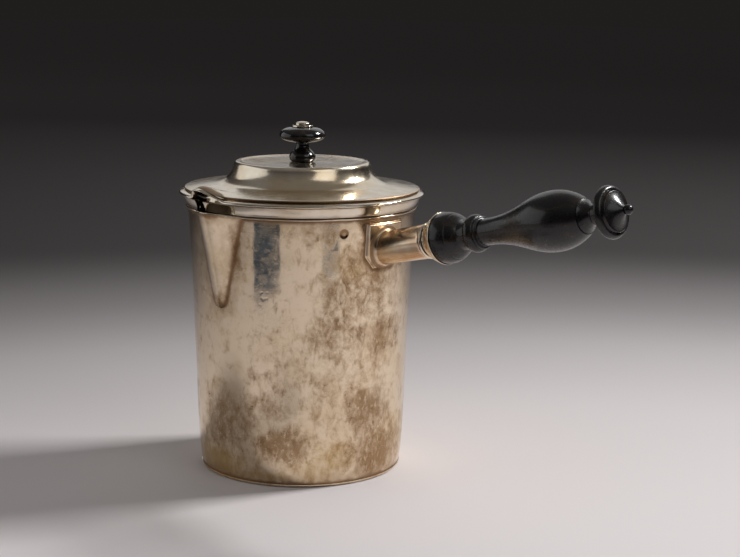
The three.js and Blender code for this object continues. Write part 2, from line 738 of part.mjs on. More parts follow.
// Top face of the crown, from the edge of the brim in to the screw hole.
function crownLine() {
  const edge = point(brimRadius, brimBottom + CROWN_SHEET);
  const foot = point(DOME_FOOT_RADIUS, domeFootHeight);
  const neck = point(DOME_NECK_RADIUS, domeFootHeight + DOME_NECK_RISE);
  const brim = steps(4).map((k) => edge.clone().lerp(foot, k ** 1.3));
  const hollow = point(DOME_NECK_RADIUS + 1.4, domeFootHeight + 1.3);
  const rim = point(DOME_TOP_RADIUS, domeTop);
  const roll = point(DOME_NECK_RADIUS - 0.5, domeTop - 0.1);
  const flatStart = DOME_TOP_RADIUS - DOME_RIM_WIDTH;
  return [
    ...brim,
    ...bend(foot, hollow, neck, 4).slice(1),
    ...bend(neck, roll, rim, 2).slice(1),
    point(flatStart, domeTop),
    point(flatStart - DOME_RECESS, crownTop),
    point(screwHole, crownTop),
  ];
}

function lidCrown() {
  return raiseHood(turnedWithHood(sheet(crownLine(), CROWN_SHEET)));
}

// Opening cut outward over the spout, with rounded upper corners.
function notchOutline(halfWidth, bottom, top) {
  const round = Math.min(NOTCH_ROUND, halfWidth / 2);
  const outline = new THREE.Shape();
  outline.moveTo(-halfWidth, bottom);
  outline.lineTo(halfWidth, bottom);
  outline.absarc(halfWidth - round, top - round, round, 0, Math.PI / 2, false);
  outline.absarc(-halfWidth + round, top - round, round, Math.PI / 2, Math.PI, false);
  return outline;
}

// Hollow moulded band that rests on the mouth wire, open where the jug pours.
function lidSkirt() {
  const foot = mouthWireRadius + SKIRT_PROUD;
  const cove = steps(5).map((k) => {
    const flare = SKIRT_FLARE * (1 - Math.cos((Math.PI / 2) * k));
    return point(foot + flare, skirtBottom + SKIRT_HEIGHT * k);
  });
  const inner = foot - SKIRT_THICKNESS;
  const top = skirtBottom + SKIRT_HEIGHT;
  const band = turned(closed([point(inner, skirtBottom), ...cove, point(inner, top)]), RING_SEGMENTS);
  const half = foot * Math.sin(NOTCH_HALF_ANGLE);
  const outline = notchOutline(half, skirtBottom - SEAT, top + NOTCH_ROUND);
  return cut(band, towardSpout(outline, 2 * borderRadius).rotateZ(NOTCH_TURN));
}

function lidBezel() {
  const brimRun = (brimRadius - bezelRadius) / (brimRadius - DOME_FOOT_RADIUS);
  const top = brimBottom + BRIM_RISE * brimRun - SEAT;
  const ring = tube(bezelRadius - BEZEL_THICKNESS, bezelRadius, bezelBottom, top, RING_SEGMENTS);
  const half = bezelRadius * Math.sin(BEZEL_NOTCH_HALF_ANGLE);
  const outline = notchOutline(half, bezelBottom - SEAT, JUG_HEIGHT + BEZEL_NOTCH_TOP);
  return cut(ring, towardSpout(outline, 2 * borderRadius));
}

// Finial

// Rounded foot, thin neck and mushroom cap.
function finialKnob() {
  const baseTop = knobBottom + KNOB_BASE_HEIGHT;
  const capBottom = baseTop + KNOB_NECK_HEIGHT;
  const edgeHeight = capBottom + KNOB_CAP_HEIGHT * KNOB_CAP_EDGE;
  const bulge = 2 * KNOB_BASE_RADIUS - (KNOB_FOOT_RADIUS + KNOB_SHOULDER_RADIUS) / 2;
  const base = bend(
    point(KNOB_FOOT_RADIUS, knobBottom),
    point(bulge, knobBottom + KNOB_BASE_HEIGHT * 0.45),
    point(KNOB_SHOULDER_RADIUS, baseTop),
    5,
  );
  const neck = bend(
    point(KNOB_SHOULDER_RADIUS, baseTop),
    point(KNOB_NECK_RADIUS - 0.2, baseTop + KNOB_NECK_HEIGHT * 0.5),
    point(KNOB_NECK_RADIUS + 0.3, capBottom),
    3,
  ).slice(1);
  const under = arc(
    KNOB_NECK_RADIUS + 0.3,
    edgeHeight,
    KNOB_CAP_RADIUS - KNOB_NECK_RADIUS - 0.3,
    edgeHeight - capBottom,
    -Math.PI / 2,
    0,
    5,
  ).slice(1);
  const over = arc(
    KNOB_TOP_RADIUS,
    edgeHeight,
    KNOB_CAP_RADIUS - KNOB_TOP_RADIUS,
    knobTop - edgeHeight,
    0,
    Math.PI / 2,
    5,
  ).slice(1);
  const bottom = point(screwHole, knobBottom);
  const top = point(screwHole, knobTop);
  return turned(closed([bottom, ...base, ...neck, ...under, ...over, top]), KNOB_SEGMENTS);
}

function finialWasher() {
  return tube(
    screwHole,
    FINIAL_WASHER_RADIUS,
    washerBottom,
    washerBottom + FINIAL_WASHER_THICKNESS,
    KNOB_SEGMENTS,
  );
}

// Domed head and long shank of the screw that holds the knob.
function finialScrew() {
  const land = BUTTON_HEIGHT / 3;
  const dome = arc(0, buttonBottom + land, BUTTON_RADIUS, BUTTON_HEIGHT - land, 0, Math.PI / 2, 4);
  const shankEnd = nutTop - NUT_HEIGHT - SCREW_END;
  return turned(
    [
      point(0, shankEnd),
      point(FINIAL_SCREW_RADIUS, shankEnd),
      point(FINIAL_SCREW_RADIUS, buttonBottom),
      point(BUTTON_RADIUS, buttonBottom),
      ...dome,
    ],
    KNOB_SEGMENTS,
  );
}

function lidBackplate() {
  return tube(screwHole, BACKPLATE_RADIUS, backplateTop - BACKPLATE_THICKNESS, backplateTop, KNOB_SEGMENTS);
}

// Hand cut square nut.
function finialNut() {
  const side = NUT_ACROSS_FLATS / 2;
  const block = new THREE.BoxGeometry(2 * side, 2 * side, NUT_HEIGHT);
  block.translate(0, 0, nutTop - NUT_HEIGHT / 2);
  const hole = rod(screwHole, nutTop - 2 * NUT_HEIGHT, nutTop + NUT_HEIGHT, KNOB_SEGMENTS);
  return cut(block, hole);
}

// Assembly

function jugGroup() {
  const group = new THREE.Group();
  group.add(
    piece('body_wall', bodyWall(), silver),
    piece('base_disc', baseDisc(), silver),
    piece('mouth_wire', mouthWire(), solderedSilver),
    piece('spout_beak', spoutBeak(), silver),
    piece('handle_plate', handlePlate(), solderedSilver),
    piece('handle_socket', handleSocket(), solderedSilver),
  );
  return group;
}

function handleGroup() {
  const group = new THREE.Group();
  group.add(
    piece('socket_bush', socketBush(), steel),
    piece('socket_washer', socketWasher(), silver),
    piece('handle_stud', handleStud(), steel),
    piece('handle_ferrule', handleFerrule(), solderedSilver),
    piece('handle_grip', handleGrip(), ebony),
    piece('handle_end', handleEnd(), ebony),
  );
  group.position.z = handleHeight;
  group.rotation.y = Math.PI / 2 - HANDLE_TILT;
  return group;
}

function lidGroup() {
  const group = new THREE.Group();
  group.add(
    piece('lid_crown', lidCrown(), silver),
    piece('lid_border', lidBorder(), solderedSilver),
    piece('lid_skirt', lidSkirt(), silver),
    piece('lid_bezel', lidBezel(), silver),
    piece('lid_backplate', lidBackplate(), silver),
    piece('finial_knob', finialKnob(), polishedEbony),
    piece('finial_washer', finialWasher(), silver),
    piece('finial_screw', finialScrew(), silver),
    piece('finial_nut', finialNut(), steel),
  );
  group.rotation.z = LID_TURN;
  return group;
}

const travelMilkJug = new THREE.Group();
travelMilkJug.add(jugGroup(), handleGroup(), lidGroup());

export default travelMilkJug;
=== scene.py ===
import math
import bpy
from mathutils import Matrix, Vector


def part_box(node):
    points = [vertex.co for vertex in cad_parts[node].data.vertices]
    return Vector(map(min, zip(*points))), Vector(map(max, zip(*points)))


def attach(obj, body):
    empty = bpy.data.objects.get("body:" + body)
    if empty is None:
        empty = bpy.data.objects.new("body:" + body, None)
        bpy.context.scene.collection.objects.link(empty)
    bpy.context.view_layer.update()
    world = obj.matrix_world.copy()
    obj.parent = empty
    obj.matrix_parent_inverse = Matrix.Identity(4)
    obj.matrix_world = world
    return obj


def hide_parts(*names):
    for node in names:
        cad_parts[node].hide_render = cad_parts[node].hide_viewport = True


bl_info = {
    "name": "Travel Milk Jug",
    "version": (1, 0, 0),
    "blender": (4, 5, 0),
    "location": "View3D > Sidebar > Milk Jug",
    "description": "Builds the silver travel jug, its ebony handle and its hooded lid",
    "category": "Object",
}

from functools import partial

import bmesh
import bpy
import numpy as np
from bpy.props import FloatProperty, FloatVectorProperty, PointerProperty
from mathutils import Matrix, Vector

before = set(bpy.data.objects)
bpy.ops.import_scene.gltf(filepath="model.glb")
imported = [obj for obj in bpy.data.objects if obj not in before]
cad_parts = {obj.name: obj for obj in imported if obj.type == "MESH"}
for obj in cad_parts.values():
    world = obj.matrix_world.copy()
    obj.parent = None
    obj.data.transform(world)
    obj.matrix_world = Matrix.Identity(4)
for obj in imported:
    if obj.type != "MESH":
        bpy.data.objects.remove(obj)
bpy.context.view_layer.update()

MM = 0.001
TURN = 2 * math.pi
WIRE_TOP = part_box("mouth_wire")[1].z
FOOT_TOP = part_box("base_disc")[1].z


# Sizes and colours that a user may change


def length_prop(name, description, value):
    return FloatProperty(name=name, description=description, default=value, unit="LENGTH", precision=4)


def angle_prop(name, description, degrees):
    value = math.radians(degrees)
    return FloatProperty(name=name, description=description, default=value, subtype="ANGLE")


def power_prop(name, description, value):
    return FloatProperty(name=name, description=description, default=value, unit="POWER")


def colour_prop(name, description, value):
    return FloatVectorProperty(
        name=name, description=description, subtype="COLOR", size=3, default=value, min=0, max=1
    )


class JugSizes(bpy.types.PropertyGroup):
    """Sizes of the jug's wall, foot, mouth and spout."""

    height: length_prop("Height", "Height of the mouth", WIRE_TOP)
    foot_radius: length_prop("Foot Radius", "Radius where the wall meets the foot", 47.3 * MM)
    mouth_radius: length_prop("Mouth Radius", "Radius of the wall at the mouth before its flare", 51.55 * MM)
    foot_tuck: length_prop("Foot Tuck", "How far the wall turns in at the foot", 1.2 * MM)
    mouth_flare: length_prop("Mouth Flare", "How far the wall turns out at the mouth", 1.1 * MM)
    wall: length_prop("Wall", "Thickness of the raised sheet", 1.1 * MM)
    spout_tip: length_prop("Spout Tip", "Height of the point of the spout", 79.8 * MM)
    spout_reach: length_prop("Spout Reach", "How far the lip of the spout stands out", 7.7 * MM)
    spout_flank: angle_prop("Spout Flank", "Slope of the creases beside the spout", 15.3)


class HandleSizes(bpy.types.PropertyGroup):
    """Sizes of the socket, the joint and the turned handle."""

    height: length_prop("Axis Height", "Height where the handle's axis meets the jug's axis", 94.8 * MM)
    tilt: angle_prop("Tilt", "Rise of the handle from level", 13.4)
    socket_radius: length_prop("Socket Radius", "Radius of the socket tube at its root", 7.2 * MM)
    ball_radius: length_prop("Ball Radius", "Radius of the ball in the collar", 11.03 * MM)
    belly_radius: length_prop("Belly Radius", "Widest radius of the grip", 12.5 * MM)
    end_radius: length_prop("End Radius", "Radius of the disc at the end", 10.7 * MM)


class LidSizes(bpy.types.PropertyGroup):
    """Sizes of the lid, its hood and its knob."""

    border_radius: length_prop("Border Radius", "Outer radius of the border wire", 56.4 * MM)
    border_height: length_prop("Border Height", "Height of the border wire", 2.4 * MM)
    hood_angle: angle_prop("Hood Half Angle", "Half the width of the hood over the spout", 13.5)
    hood_rise: length_prop("Hood Rise", "How far the hood lifts the border", 3.8 * MM)
    hood_reach: length_prop("Hood Reach", "How far the hood pushes the border out", 3.7 * MM)
    turn: angle_prop("Lid Turn", "How far the lid is turned on the mouth", -5)
    knob_radius: length_prop("Knob Radius", "Radius of the knob's cap", 10.6 * MM)


class FinishColours(bpy.types.PropertyGroup):
    """Colours of the metal, its tarnish and the wood."""

    silver: colour_prop("Silver", "Clean metal on the lid and the mouldings", (0.80, 0.72, 0.60))
    warm_silver: colour_prop("Warm Silver", "Metal of the jug, with a thin warm film", (0.88, 0.73, 0.545))
    tarnish: colour_prop("Tarnish", "Brown film in creases and patches", (0.22, 0.12, 0.055))
    gold_film: colour_prop("Gold Film", "Yellow film at the start of tarnish", (0.60, 0.42, 0.19))
    brown_film: colour_prop("Brown Film", "Brown tarnish spread thinly over the wall", (0.36, 0.225, 0.115))
    copper_film: colour_prop("Copper Film", "Reddish film round the soldered socket", (0.56, 0.30, 0.15))
    bright: colour_prop("Bright Metal", "Metal rubbed bright on edges", (0.93, 0.88, 0.80))
    scale: colour_prop("Inner Scale", "Dull crust left by milk inside the jug", (0.60, 0.52, 0.42))
    ebony: colour_prop("Ebony", "Dark heart wood", (0.008, 0.007, 0.007))
    ebony_grain: colour_prop("Ebony Grain", "Brown streaks in the wood", (0.030, 0.021, 0.015))
    wood_dust: colour_prop("Wood Dust", "Grey dust that lies on the wood", (0.10, 0.095, 0.09))
    steel: colour_prop("Steel", "Stud, bush and nut", (0.42, 0.40, 0.38))
    dull_steel: colour_prop("Dull Steel", "Clouds on the steel", (0.26, 0.24, 0.22))
    rust: colour_prop("Rust", "Brown spots on the steel", (0.13, 0.065, 0.03))


class StageValues(bpy.types.PropertyGroup):
    """Floor, lamps and camera."""

    floor_colour: colour_prop("Floor", "Pale floor near the jug", (0.74, 0.695, 0.70))
    # painted shade: the floor's colour fades to this dark tone far from the jug, in place of the lamps'
    # falloff
    painted_far_shade: colour_prop("Painted Far Shade", "Floor far from the jug", (0.046, 0.041, 0.042))
    card_colour: colour_prop("Cards", "Dark cards that the silver mirrors", (0.02, 0.05, 0.10))
    dark_colour: colour_prop("Dark Room", "The room low round the jug", (0.0145, 0.0125, 0.0125))
    room_colour: colour_prop("Room", "The dim room high above the jug", (0.17, 0.163, 0.158))
    key_power: power_prop("Key Lamp", "Power of the lamp on the right", 20.0)
    back_power: power_prop("Back Lamp", "Power of the wide lamp behind", 3.4)
    left_power: power_prop("Left Lamp", "Power of the soft lamp on the left", 0.95)
    right_power: power_prop("Right Lamp", "Power of the soft lamp in front", 2.2)
    camera_lens: FloatProperty(
        name="Lens", description="Focal length for a 36 mm frame", default=77.84, unit="CAMERA"
    )


# Sizes that stay with the work

SEAT = 0.3 * MM  # left between soldered pieces
FAR = 9 * MM  # beyond the reach of grime along a joint
SHARP = math.radians(38)  # an edge that turns more than this stays sharp
STRAIGHT = math.radians(150)  # a corner opener than this isn't rounded
DOUBLED = 0.0002 * MM  # points closer than this are joined
WALL_COLUMNS, FOOT_COLUMNS, BEZEL_COLUMNS, TURNED_COLUMNS = 264, 240, 216, 120

FOOT_PROUD = 0.25 * MM
TUCK_POWER = 16  # higher keeps the turn closer to the foot
FLARE_POWER = 6
FOOT_CORNER = 0.95 * MM
FOOT_CORNER_AT = 1.0 * MM
FOOT_STEP = 6 * MM
FOOT_LINE = 3 * MM  # grime under the foot, in from its rim
FOOT_LINE_TOP = 0.9 * MM
TUCK_TOP = 9 * MM
WIRE_HEIGHT = 1.1 * MM
WIRE_PROUD = 0.75 * MM
TIP_ROUND = 4.4 * MM
TIP_REACH = 1.1 * MM
REACH_POWER = 1.35  # higher keeps the nose low for longer
SPOUT_RIDGE = 0.4
SPOUT_SHEET = 0.9 * MM
SPOUT_SOLDER = 0.45 * MM
CREASE_WIDTH = 0.35 * MM
CREASE_SUNK = 0.2 * MM
CREASE_CROWDING = 1.8  # higher brings more columns to the creases
LIP_RISE = 1.2 * MM
LIP_START = 108 * MM
LIP_BELOW = 0.45 * MM  # edge of the spout's sheet, inside the wire
CUT_INSET = 2.7 * MM

PLATE_WIDTH = 10.4 * MM
PLATE_THICKNESS = 1.0 * MM
PLATE_BELOW = 8.4 * MM
PLATE_GAP = 2.4 * MM
PLATE_SOLDER = 0.55 * MM
SUNK = 0.1 * MM  # edge of the solder below the wall
PLATE_ROUND = 0.5 * MM
PLATE_BACK = 0.4 * MM  # into the wall
PLATE_CROWDING = 1.7
CANT_WIDTH = 4.6 * MM
CANT_HEIGHT = 5.5 * MM
SOCKET_LENGTH = 25.9 * MM
SOCKET_WALL = 1.3 * MM
SOCKET_FILLET = 1.9 * MM
SOCKET_SWELL = 0.35 * MM
SOCKET_SUNK = 0.05 * MM
BUSH_LENGTH = 14 * MM
BUSH_HOLE = 2.15 * MM
STUD_RADIUS = 2.0 * MM
STUD_PITCH = 1.25 * MM
STUD_HOLE = 2.3 * MM
STUD_IN_GRIP = 12.2 * MM
STUD_IN_SOCKET = 13.7 * MM
THREAD_DEPTH = 0.42 * MM
STUD_SIDES = 36
THREAD_LEAD = 0.35 * MM  # the stud is this much thinner at its tip
THREAD_LEAD_LENGTH = 1.2 * MM
RING_RADIUS = 7.9 * MM
RING_THICKNESS = 1.1 * MM
RING_PLAY = 0.5 * MM
COLLAR_LENGTH = 7.4 * MM
COLLAR_FLOOR = 2.0 * MM
COLLAR_SOFTNESS = 0.22 * MM
BALL_AHEAD = 2.13 * MM
BALL_INSIDE = 0.5 * MM  # the ball goes this far into the collar
BALL_NECK = 6.4 * MM
LINE_AHEAD = 4.9 * MM  # line cut in the ball
LINE_DEPTH = 0.2 * MM
LINE_WIDTH = 0.24 * MM
NECK_LENGTH = 4.0 * MM
BEAD_LENGTH = 5.2 * MM
BEAD_FOOT = 6.2 * MM
BEAD_RISE = 1.9 * MM
FLANGE_LENGTH = 1.3 * MM
FLANGE_FOOT = 6.4 * MM
FLANGE_RISE = 0.65 * MM
WAIST_GAP = 1.0 * MM
WAIST_RADIUS = 5.7 * MM
SWELL_LENGTH = 36 * MM
TAPER_LENGTH = 15.6 * MM
SHOULDER_RADIUS = 7.4 * MM
GRIP_COVE = 4.6 * MM
COVE_START = 0.4 * MM
COVE_DEPTH = 2.8 * MM
COVE_END_RADIUS = 4.2 * MM
TENON_RADIUS = 2.2 * MM
TENON_LENGTH = 8 * MM
END_NECK_RADIUS = 4.6 * MM
END_BACK_LENGTH = 6.8 * MM
END_BOWL = 1.9 * MM
END_ROUND = 1.6 * MM
END_RIM = 2.2 * MM
END_STEP = 0.9 * MM
END_BALL = 2.05 * MM

BORDER_HALF_WIDTH = 2.05 * MM
TONGUE = 1.3 * MM
ROLL_OUT = 1.1 * MM  # the border's roll beyond the hood
ROLL_UP = 0.6 * MM
HOOD_ROOT = 8 * MM
EDGE_WIDTH = 3 * MM  # the crown's edge, drawn out and down behind the roll
EDGE_OUT = 0.9 * MM
EDGE_DROP = 0.75 * MM
EDGE_SPAN = 1.6
SKIRT_HEIGHT = 4.4 * MM
SKIRT_PROUD = 0.15 * MM
SKIRT_BEAD = 0.25 * MM
SKIRT_FLARE = 1.4 * MM
SKIRT_THICKNESS = 1.2 * MM
NOTCH_HALF_ANGLE = math.radians(3.8)
NOTCH_TURN = math.radians(-6)
BRIM_INSET = 2.35 * MM
BRIM_RISE = 2.4 * MM
CROWN_SHEET = 0.9 * MM
CROWN_STEP = 1.6 * MM
DOME_FOOT_RADIUS = 37 * MM
DOME_HEIGHT = 9.2 * MM
DOME_RECESS = 0.35 * MM
DOME_RIM_LINE = 28 * MM
KNOB_SEAT = 5.2 * MM
BEZEL_DEPTH = 8.9 * MM
BEZEL_THICKNESS = 1 * MM
BEZEL_PLAY = 0.5 * MM
BEZEL_EASE = 0.25 * MM
BEZEL_NOTCH_TURN = math.radians(13.5)
BEZEL_NOTCH_TOP = 3.8 * MM
BEZEL_NOTCH_ROUND = 1.6 * MM
KNOB_HOLE = 1.5 * MM
CAP_BOTTOM = 8.7 * MM
CAP_HEIGHT = 6.8 * MM
CAP_FLAT = 5 * MM
CAP_EDGE = 0.44  # height of the widest part, as a share of the cap
SCREW_RADIUS = 1.2 * MM
SCREW_PITCH = 0.6 * MM
SCREW_CUT = 0.14 * MM
SCREW_BELOW = 3.6 * MM  # from the top of the nut to the screw's end
HEAD_RADIUS = 3.2 * MM
HEAD_EDGE = 0.45 * MM
HEAD_RISE = 1.05 * MM
WASHER_RADIUS = 4.7 * MM
WASHER_THICKNESS = 0.6 * MM
WASHER_SUNK = 0.2 * MM
BACKPLATE_RADIUS = 9 * MM
BACKPLATE_THICKNESS = 1 * MM
NUT_ACROSS = 7 * MM
NUT_HEIGHT = 2.4 * MM
NUT_BELOW = 2.5 * MM  # from the top of the crown
NUT_CORNER = 1.30  # corner of the nut, as a share of its half side

# Profiles in millimetres: distance from the axis and distance along it. The places that they start from
# stand where they are used. Rims, lips and edges count their first number from the edge itself.

FOOT_UNDERSIDE = ((-6, 0), (-3, 0.12))
FOOT_TOP_EDGE = ((-0.05, -0.05), (-0.3, 0))
TUBE_LIP = ((-0.1, -0.1), (-0.35, 0))
TUBE_MOUTH = ((0.3, 0), (0.08, -0.08), (0, -0.3))
COLLAR_BACK = ((2.3, 0), (7.2, 0), (7.2, 1.1), (8.45, 1.6))
COLLAR_FLARE = ((8.6, 2), (10.3, 4.3))
COLLAR_INSIDE = ((7.9, 0), (2.3, 0))
COLLAR_EDGE = ((11.35, -0.25), (11.35, 0), (10.93, 0), (10.90, -0.7), (10.45, -0.75))
GRIP_BACK = ((2.3, 0), (7.6, 0))
GRIP_NECK = ((6.35, 0.2), (6.0, 1.6))
GRIP_WAIST = ((5.9, -1), (5.55, -0.8), (5.7, 0))
GRIP_GROOVE = ((-0.05, 0.1), (-0.7, 0.25))
END_NECK = ((4.3, 0), (4.6, 0.3))
END_CONE = ((7.7, 0.1), (4.6, 0.95), (1.5, 3.8))
END_LEDGE = ((8.75, 0), (8.6, -0.35), (8.35, 0), (8.2, 0.9))
BRIM_EDGE = ((-0.02, -0.25), (-0.25, -0.02))
DOME_INTO = ((37.2, 0.05), (34.6, 1.9))
DOME_UP = ((32.9, 3.2), (31.6, 7))
DOME_ROLL = ((31.1, -0.1), (30.1, 0))
DOME_RIM = ((28.4, -0.02), (28.05, -0.12))
DOME_FLAT = ((27.8, 0.03), (27.4, 0), (1.5, 0))
SKIRT_FOOT = ((-0.25, 0), (-0.05, 0.08))
KNOB_FOOT = ((5.2, 0), (7.55, 2.43), (3.7, 5.4))
KNOB_NECK = ((3.7, 5.4), (2.55, 7.05), (3.05, 8.7))
SCREW_TIP = ((0, -0.2), (0.8, -0.1))
SCREW_HEAD = ((1.2, -5.8), (1.2, -0.25), (2.9, -0.25), (3.15, -0.05))
NUT_LOW = ((-0.5, 0), (-0.1, 0.25), (0, 0.5))
NUT_HIGH = ((0, -0.4), (-0.12, -0.2), (-0.5, 0))

# The pool of light painted into the floor's colour, as where each fade begins and ends and the share of pale
# floor left after it

FLOOR_HALF = 8  # metres
FLOOR_ROUGHNESS, FLOOR_SPECULAR = 0.75, 0.1
PAINTED_POOL_MIDDLE = (0.27, -0.15, 0)
PAINTED_POOL_EDGES = ((0.16, 0.50, 0.72), (0.38, 0.72, 0.33), (0.54, 0.96, 0.0), (1.6, 3.2, 0.065))

# Dark cards just above the floor, which only the silver mirrors

CARD_HEIGHT = 2 * MM
CARD_ROUGHNESS = 0.8
CARDS = (
    ("blue_card", ((-0.010, -0.470), (0.190, -0.415), (0.150, -0.335), (-0.012, -0.360))),
    ("small_card", ((0.395, -0.175), (0.433, -0.072), (0.392, -0.058), (0.356, -0.155))),
)

# The room's tone rises from dark to dim between these heights of the view
ROOM_FADE = (0.12, 0.9)

# Lamps: name, its power in the panel, size, place and target

LAMPS = (
    ("key", "key_power", (0.32, 0.32), (0.50, 0.98, 1.02), (0, 0, 0.08)),
    ("back_soft", "back_power", (1.6, 1.15), (-0.78, 1.15, 0.88), (0, 0, 0.13)),
    ("left_soft", "left_power", (0.8, 0.5), (-0.47, -0.36, 0.27), (0, 0, 0.15)),
    ("right_soft", "right_power", (0.8, 0.8), (1.20, -0.05, 0.95), (0, 0, 0.09)),
)
CAMERA_PLACE = (0.5231, -0.5140, 0.21987)
CAMERA_TURN = math.radians(45.5)
FRAME_WIDTH = 36  # millimetres
CAMERA_YAW, CAMERA_PITCH, CAMERA_ROLL = 0.04329, 0.17945, 0.01343


class Form:
    """Radii, heights and curves that the pieces share, from the sizes in the panel."""

    def __init__(self, scene):
        self.jug = scene.milk_jug_body
        self.handle = scene.milk_jug_handle
        self.lid = scene.milk_jug_lid
        jug, handle, lid = self.jug, self.handle, self.lid
        self.wall_top = jug.height - WIRE_HEIGHT
        self.wire_radius = float(self.wall_radius(jug.height)) + WIRE_PROUD
        self.tip_centre = jug.spout_tip + TIP_ROUND
        self.plate_root = handle.height + jug.mouth_radius * math.tan(handle.tilt)
        self.plate_bottom = self.plate_root - PLATE_BELOW
        self.plate_top = self.wall_top - PLATE_GAP
        self.plate_face = SEAT + PLATE_THICKNESS
        start = float(self.wall_radius(self.plate_root)) + self.plate_face
        self.socket_start = start / math.cos(handle.tilt)
        self.socket_end = self.socket_start + SOCKET_LENGTH
        self.socket_bore = handle.socket_radius - SOCKET_WALL
        self.ring_start = self.socket_end + SEAT
        self.collar_start = self.ring_start + RING_THICKNESS + RING_PLAY
        self.collar_rim = self.collar_start + COLLAR_LENGTH
        self.grip_back = self.collar_start + COLLAR_FLOOR + SEAT
        self.ball_centre = self.collar_rim + BALL_AHEAD
        self.neck_start = self.ball_centre + math.sqrt(handle.ball_radius**2 - BALL_NECK**2)
        self.bead_start = self.neck_start + NECK_LENGTH
        self.flange_start = self.bead_start + BEAD_LENGTH
        self.waist_start = self.flange_start + FLANGE_LENGTH + WAIST_GAP
        self.belly_at = self.waist_start + SWELL_LENGTH
        self.shoulder_at = self.belly_at + TAPER_LENGTH
        self.grip_end = self.shoulder_at + GRIP_COVE
        self.end_start = self.grip_end + SEAT
        self.skirt_bottom = jug.height + SEAT
        self.border_bottom = self.skirt_bottom + SKIRT_HEIGHT + SEAT
        self.border_top = self.border_bottom + lid.border_height
        self.border_centre = lid.border_radius - BORDER_HALF_WIDTH
        self.brim_bottom = self.border_top - SEAT
        self.brim_radius = lid.border_radius - BRIM_INSET
        self.dome_foot = self.brim_bottom + CROWN_SHEET + BRIM_RISE
        self.dome_top = self.dome_foot + DOME_HEIGHT
        self.crown_top = self.dome_top - DOME_RECESS
        self.knob_bottom = self.crown_top + SEAT

    def wall_radius(self, height):
        """Outer radius of the wall at a height."""
        rise = np.asarray(height, float) / self.jug.height
        straight = self.jug.foot_radius + (self.jug.mouth_radius - self.jug.foot_radius) * rise
        tuck = self.jug.foot_tuck * np.clip(1 - rise, 0, 1) ** TUCK_POWER
        return straight - tuck + self.jug.mouth_flare * np.clip(rise, 0, None) ** FLARE_POWER

    def v_half_width(self, height, grow=0.0):
        """Half the width of the V of the spout at a height, with its outline moved out by grow."""
        height = np.asarray(height, float)
        flank = self.jug.spout_flank
        radius = TIP_ROUND + grow
        tangent = self.tip_centre - radius * math.sin(flank)
        below = np.sqrt(np.clip(radius**2 - (self.tip_centre - height) ** 2, 0, None))
        above = radius * math.cos(flank) + (height - tangent) * math.tan(flank)
        return np.where(height < tangent, below, above)

    def v_inside(self, x, height):
        """Distance inside the V of the spout, below zero outside it."""
        flank = self.jug.spout_flank
        x = np.abs(x)
        drop = np.asarray(height, float) - self.tip_centre
        flat = TIP_ROUND - (x * math.cos(flank) - drop * math.sin(flank))
        round_part = TIP_ROUND - np.hypot(x, drop)
        on_round = drop * math.cos(flank) + x * math.sin(flank) < 0
        return np.where(on_round, round_part, flat)

    def spout_section(self, across):
        """Rounded V across the spout, 1 at the nose and 0 at the creases."""
        edge = math.hypot(1, SPOUT_RIDGE)
        across = np.clip(np.abs(across), 0, 1)
        return (edge - np.hypot(across, SPOUT_RIDGE)) / (edge - SPOUT_RIDGE)

    def spout_reach(self, height):
        """How far the nose stands out from the wall at a height."""
        rise = np.clip((height - self.jug.spout_tip) / (self.jug.height - self.jug.spout_tip), 0, None)
        reach = TIP_REACH + (self.jug.spout_reach - TIP_REACH) * rise**REACH_POWER
        return reach * np.clip(self.v_half_width(height) / TIP_ROUND, 0, 1)

    def plate_inside(self, y, height):
        """Distance inside the outline of the socket's plate, below zero outside it."""
        side = PLATE_WIDTH - np.abs(y)
        low = height - self.plate_bottom
        high = self.plate_top - height
        slope = math.hypot(CANT_WIDTH, CANT_HEIGHT)
        cant = ((side - CANT_WIDTH) * CANT_HEIGHT + low * CANT_WIDTH) / slope
        return np.minimum(np.minimum(side, high), np.minimum(low, cant))

    def plate_half_width(self, height, grow):
        """Half the width of the plate's outline, moved out by grow."""
        slope = math.hypot(CANT_WIDTH, CANT_HEIGHT)
        low = height - self.plate_bottom
        cant = PLATE_WIDTH - CANT_WIDTH + (low * CANT_WIDTH + grow * slope) / CANT_HEIGHT
        return np.minimum(PLATE_WIDTH + grow, cant)

    def raise_hood(self, points):
        """Lifts the rim of the lid up and out over the spout, then turns the lid on the mouth."""
        x, y, z = points[..., 0], points[..., 1], points[..., 2]
        radius = np.hypot(x, y)
        angle = np.clip(np.abs(np.arctan2(x, -y)) / self.lid.hood_angle, 0, 1)
        full = self.border_centre - TONGUE
        fade = np.clip((radius - full + HOOD_ROOT) / HOOD_ROOT, 0, 1)
        fade = fade * fade * (3 - 2 * fade)
        bell = fade * (0.5 + 0.5 * np.cos(math.pi * angle))
        moved = 1 + self.lid.hood_reach * bell / np.maximum(radius, MM)
        return self.turn_lid(np.stack([x * moved, y * moved, z + self.lid.hood_rise * bell], -1))

    def raise_crown(self, points):
        """Raises the hood of the crown, with its edge drawn out and down behind the thin roll."""
        x, y, z = points[..., 0], points[..., 1], points[..., 2]
        radius = np.hypot(x, y)
        angle = np.clip(np.abs(np.arctan2(x, -y)) / self.lid.hood_angle, 0, 1)
        edge = np.clip((radius - self.brim_radius + EDGE_WIDTH) / EDGE_WIDTH, 0, 1) ** 2
        share = edge * np.sin(0.5 * math.pi * np.clip(EDGE_SPAN * (1 - angle), 0, 1)) ** 2
        moved = 1 + EDGE_OUT * share / np.maximum(radius, MM)
        return self.raise_hood(np.stack([x * moved, y * moved, z - EDGE_DROP * share], -1))

    def turn_lid(self, points, further=0.0):
        """Turns points about the jug's axis with the lid."""
        turn = self.lid.turn + further
        cos, sin = math.cos(turn), math.sin(turn)
        x, y = points[..., 0], points[..., 1]
        return np.stack([x * cos - y * sin, x * sin + y * cos, points[..., 2]], -1)

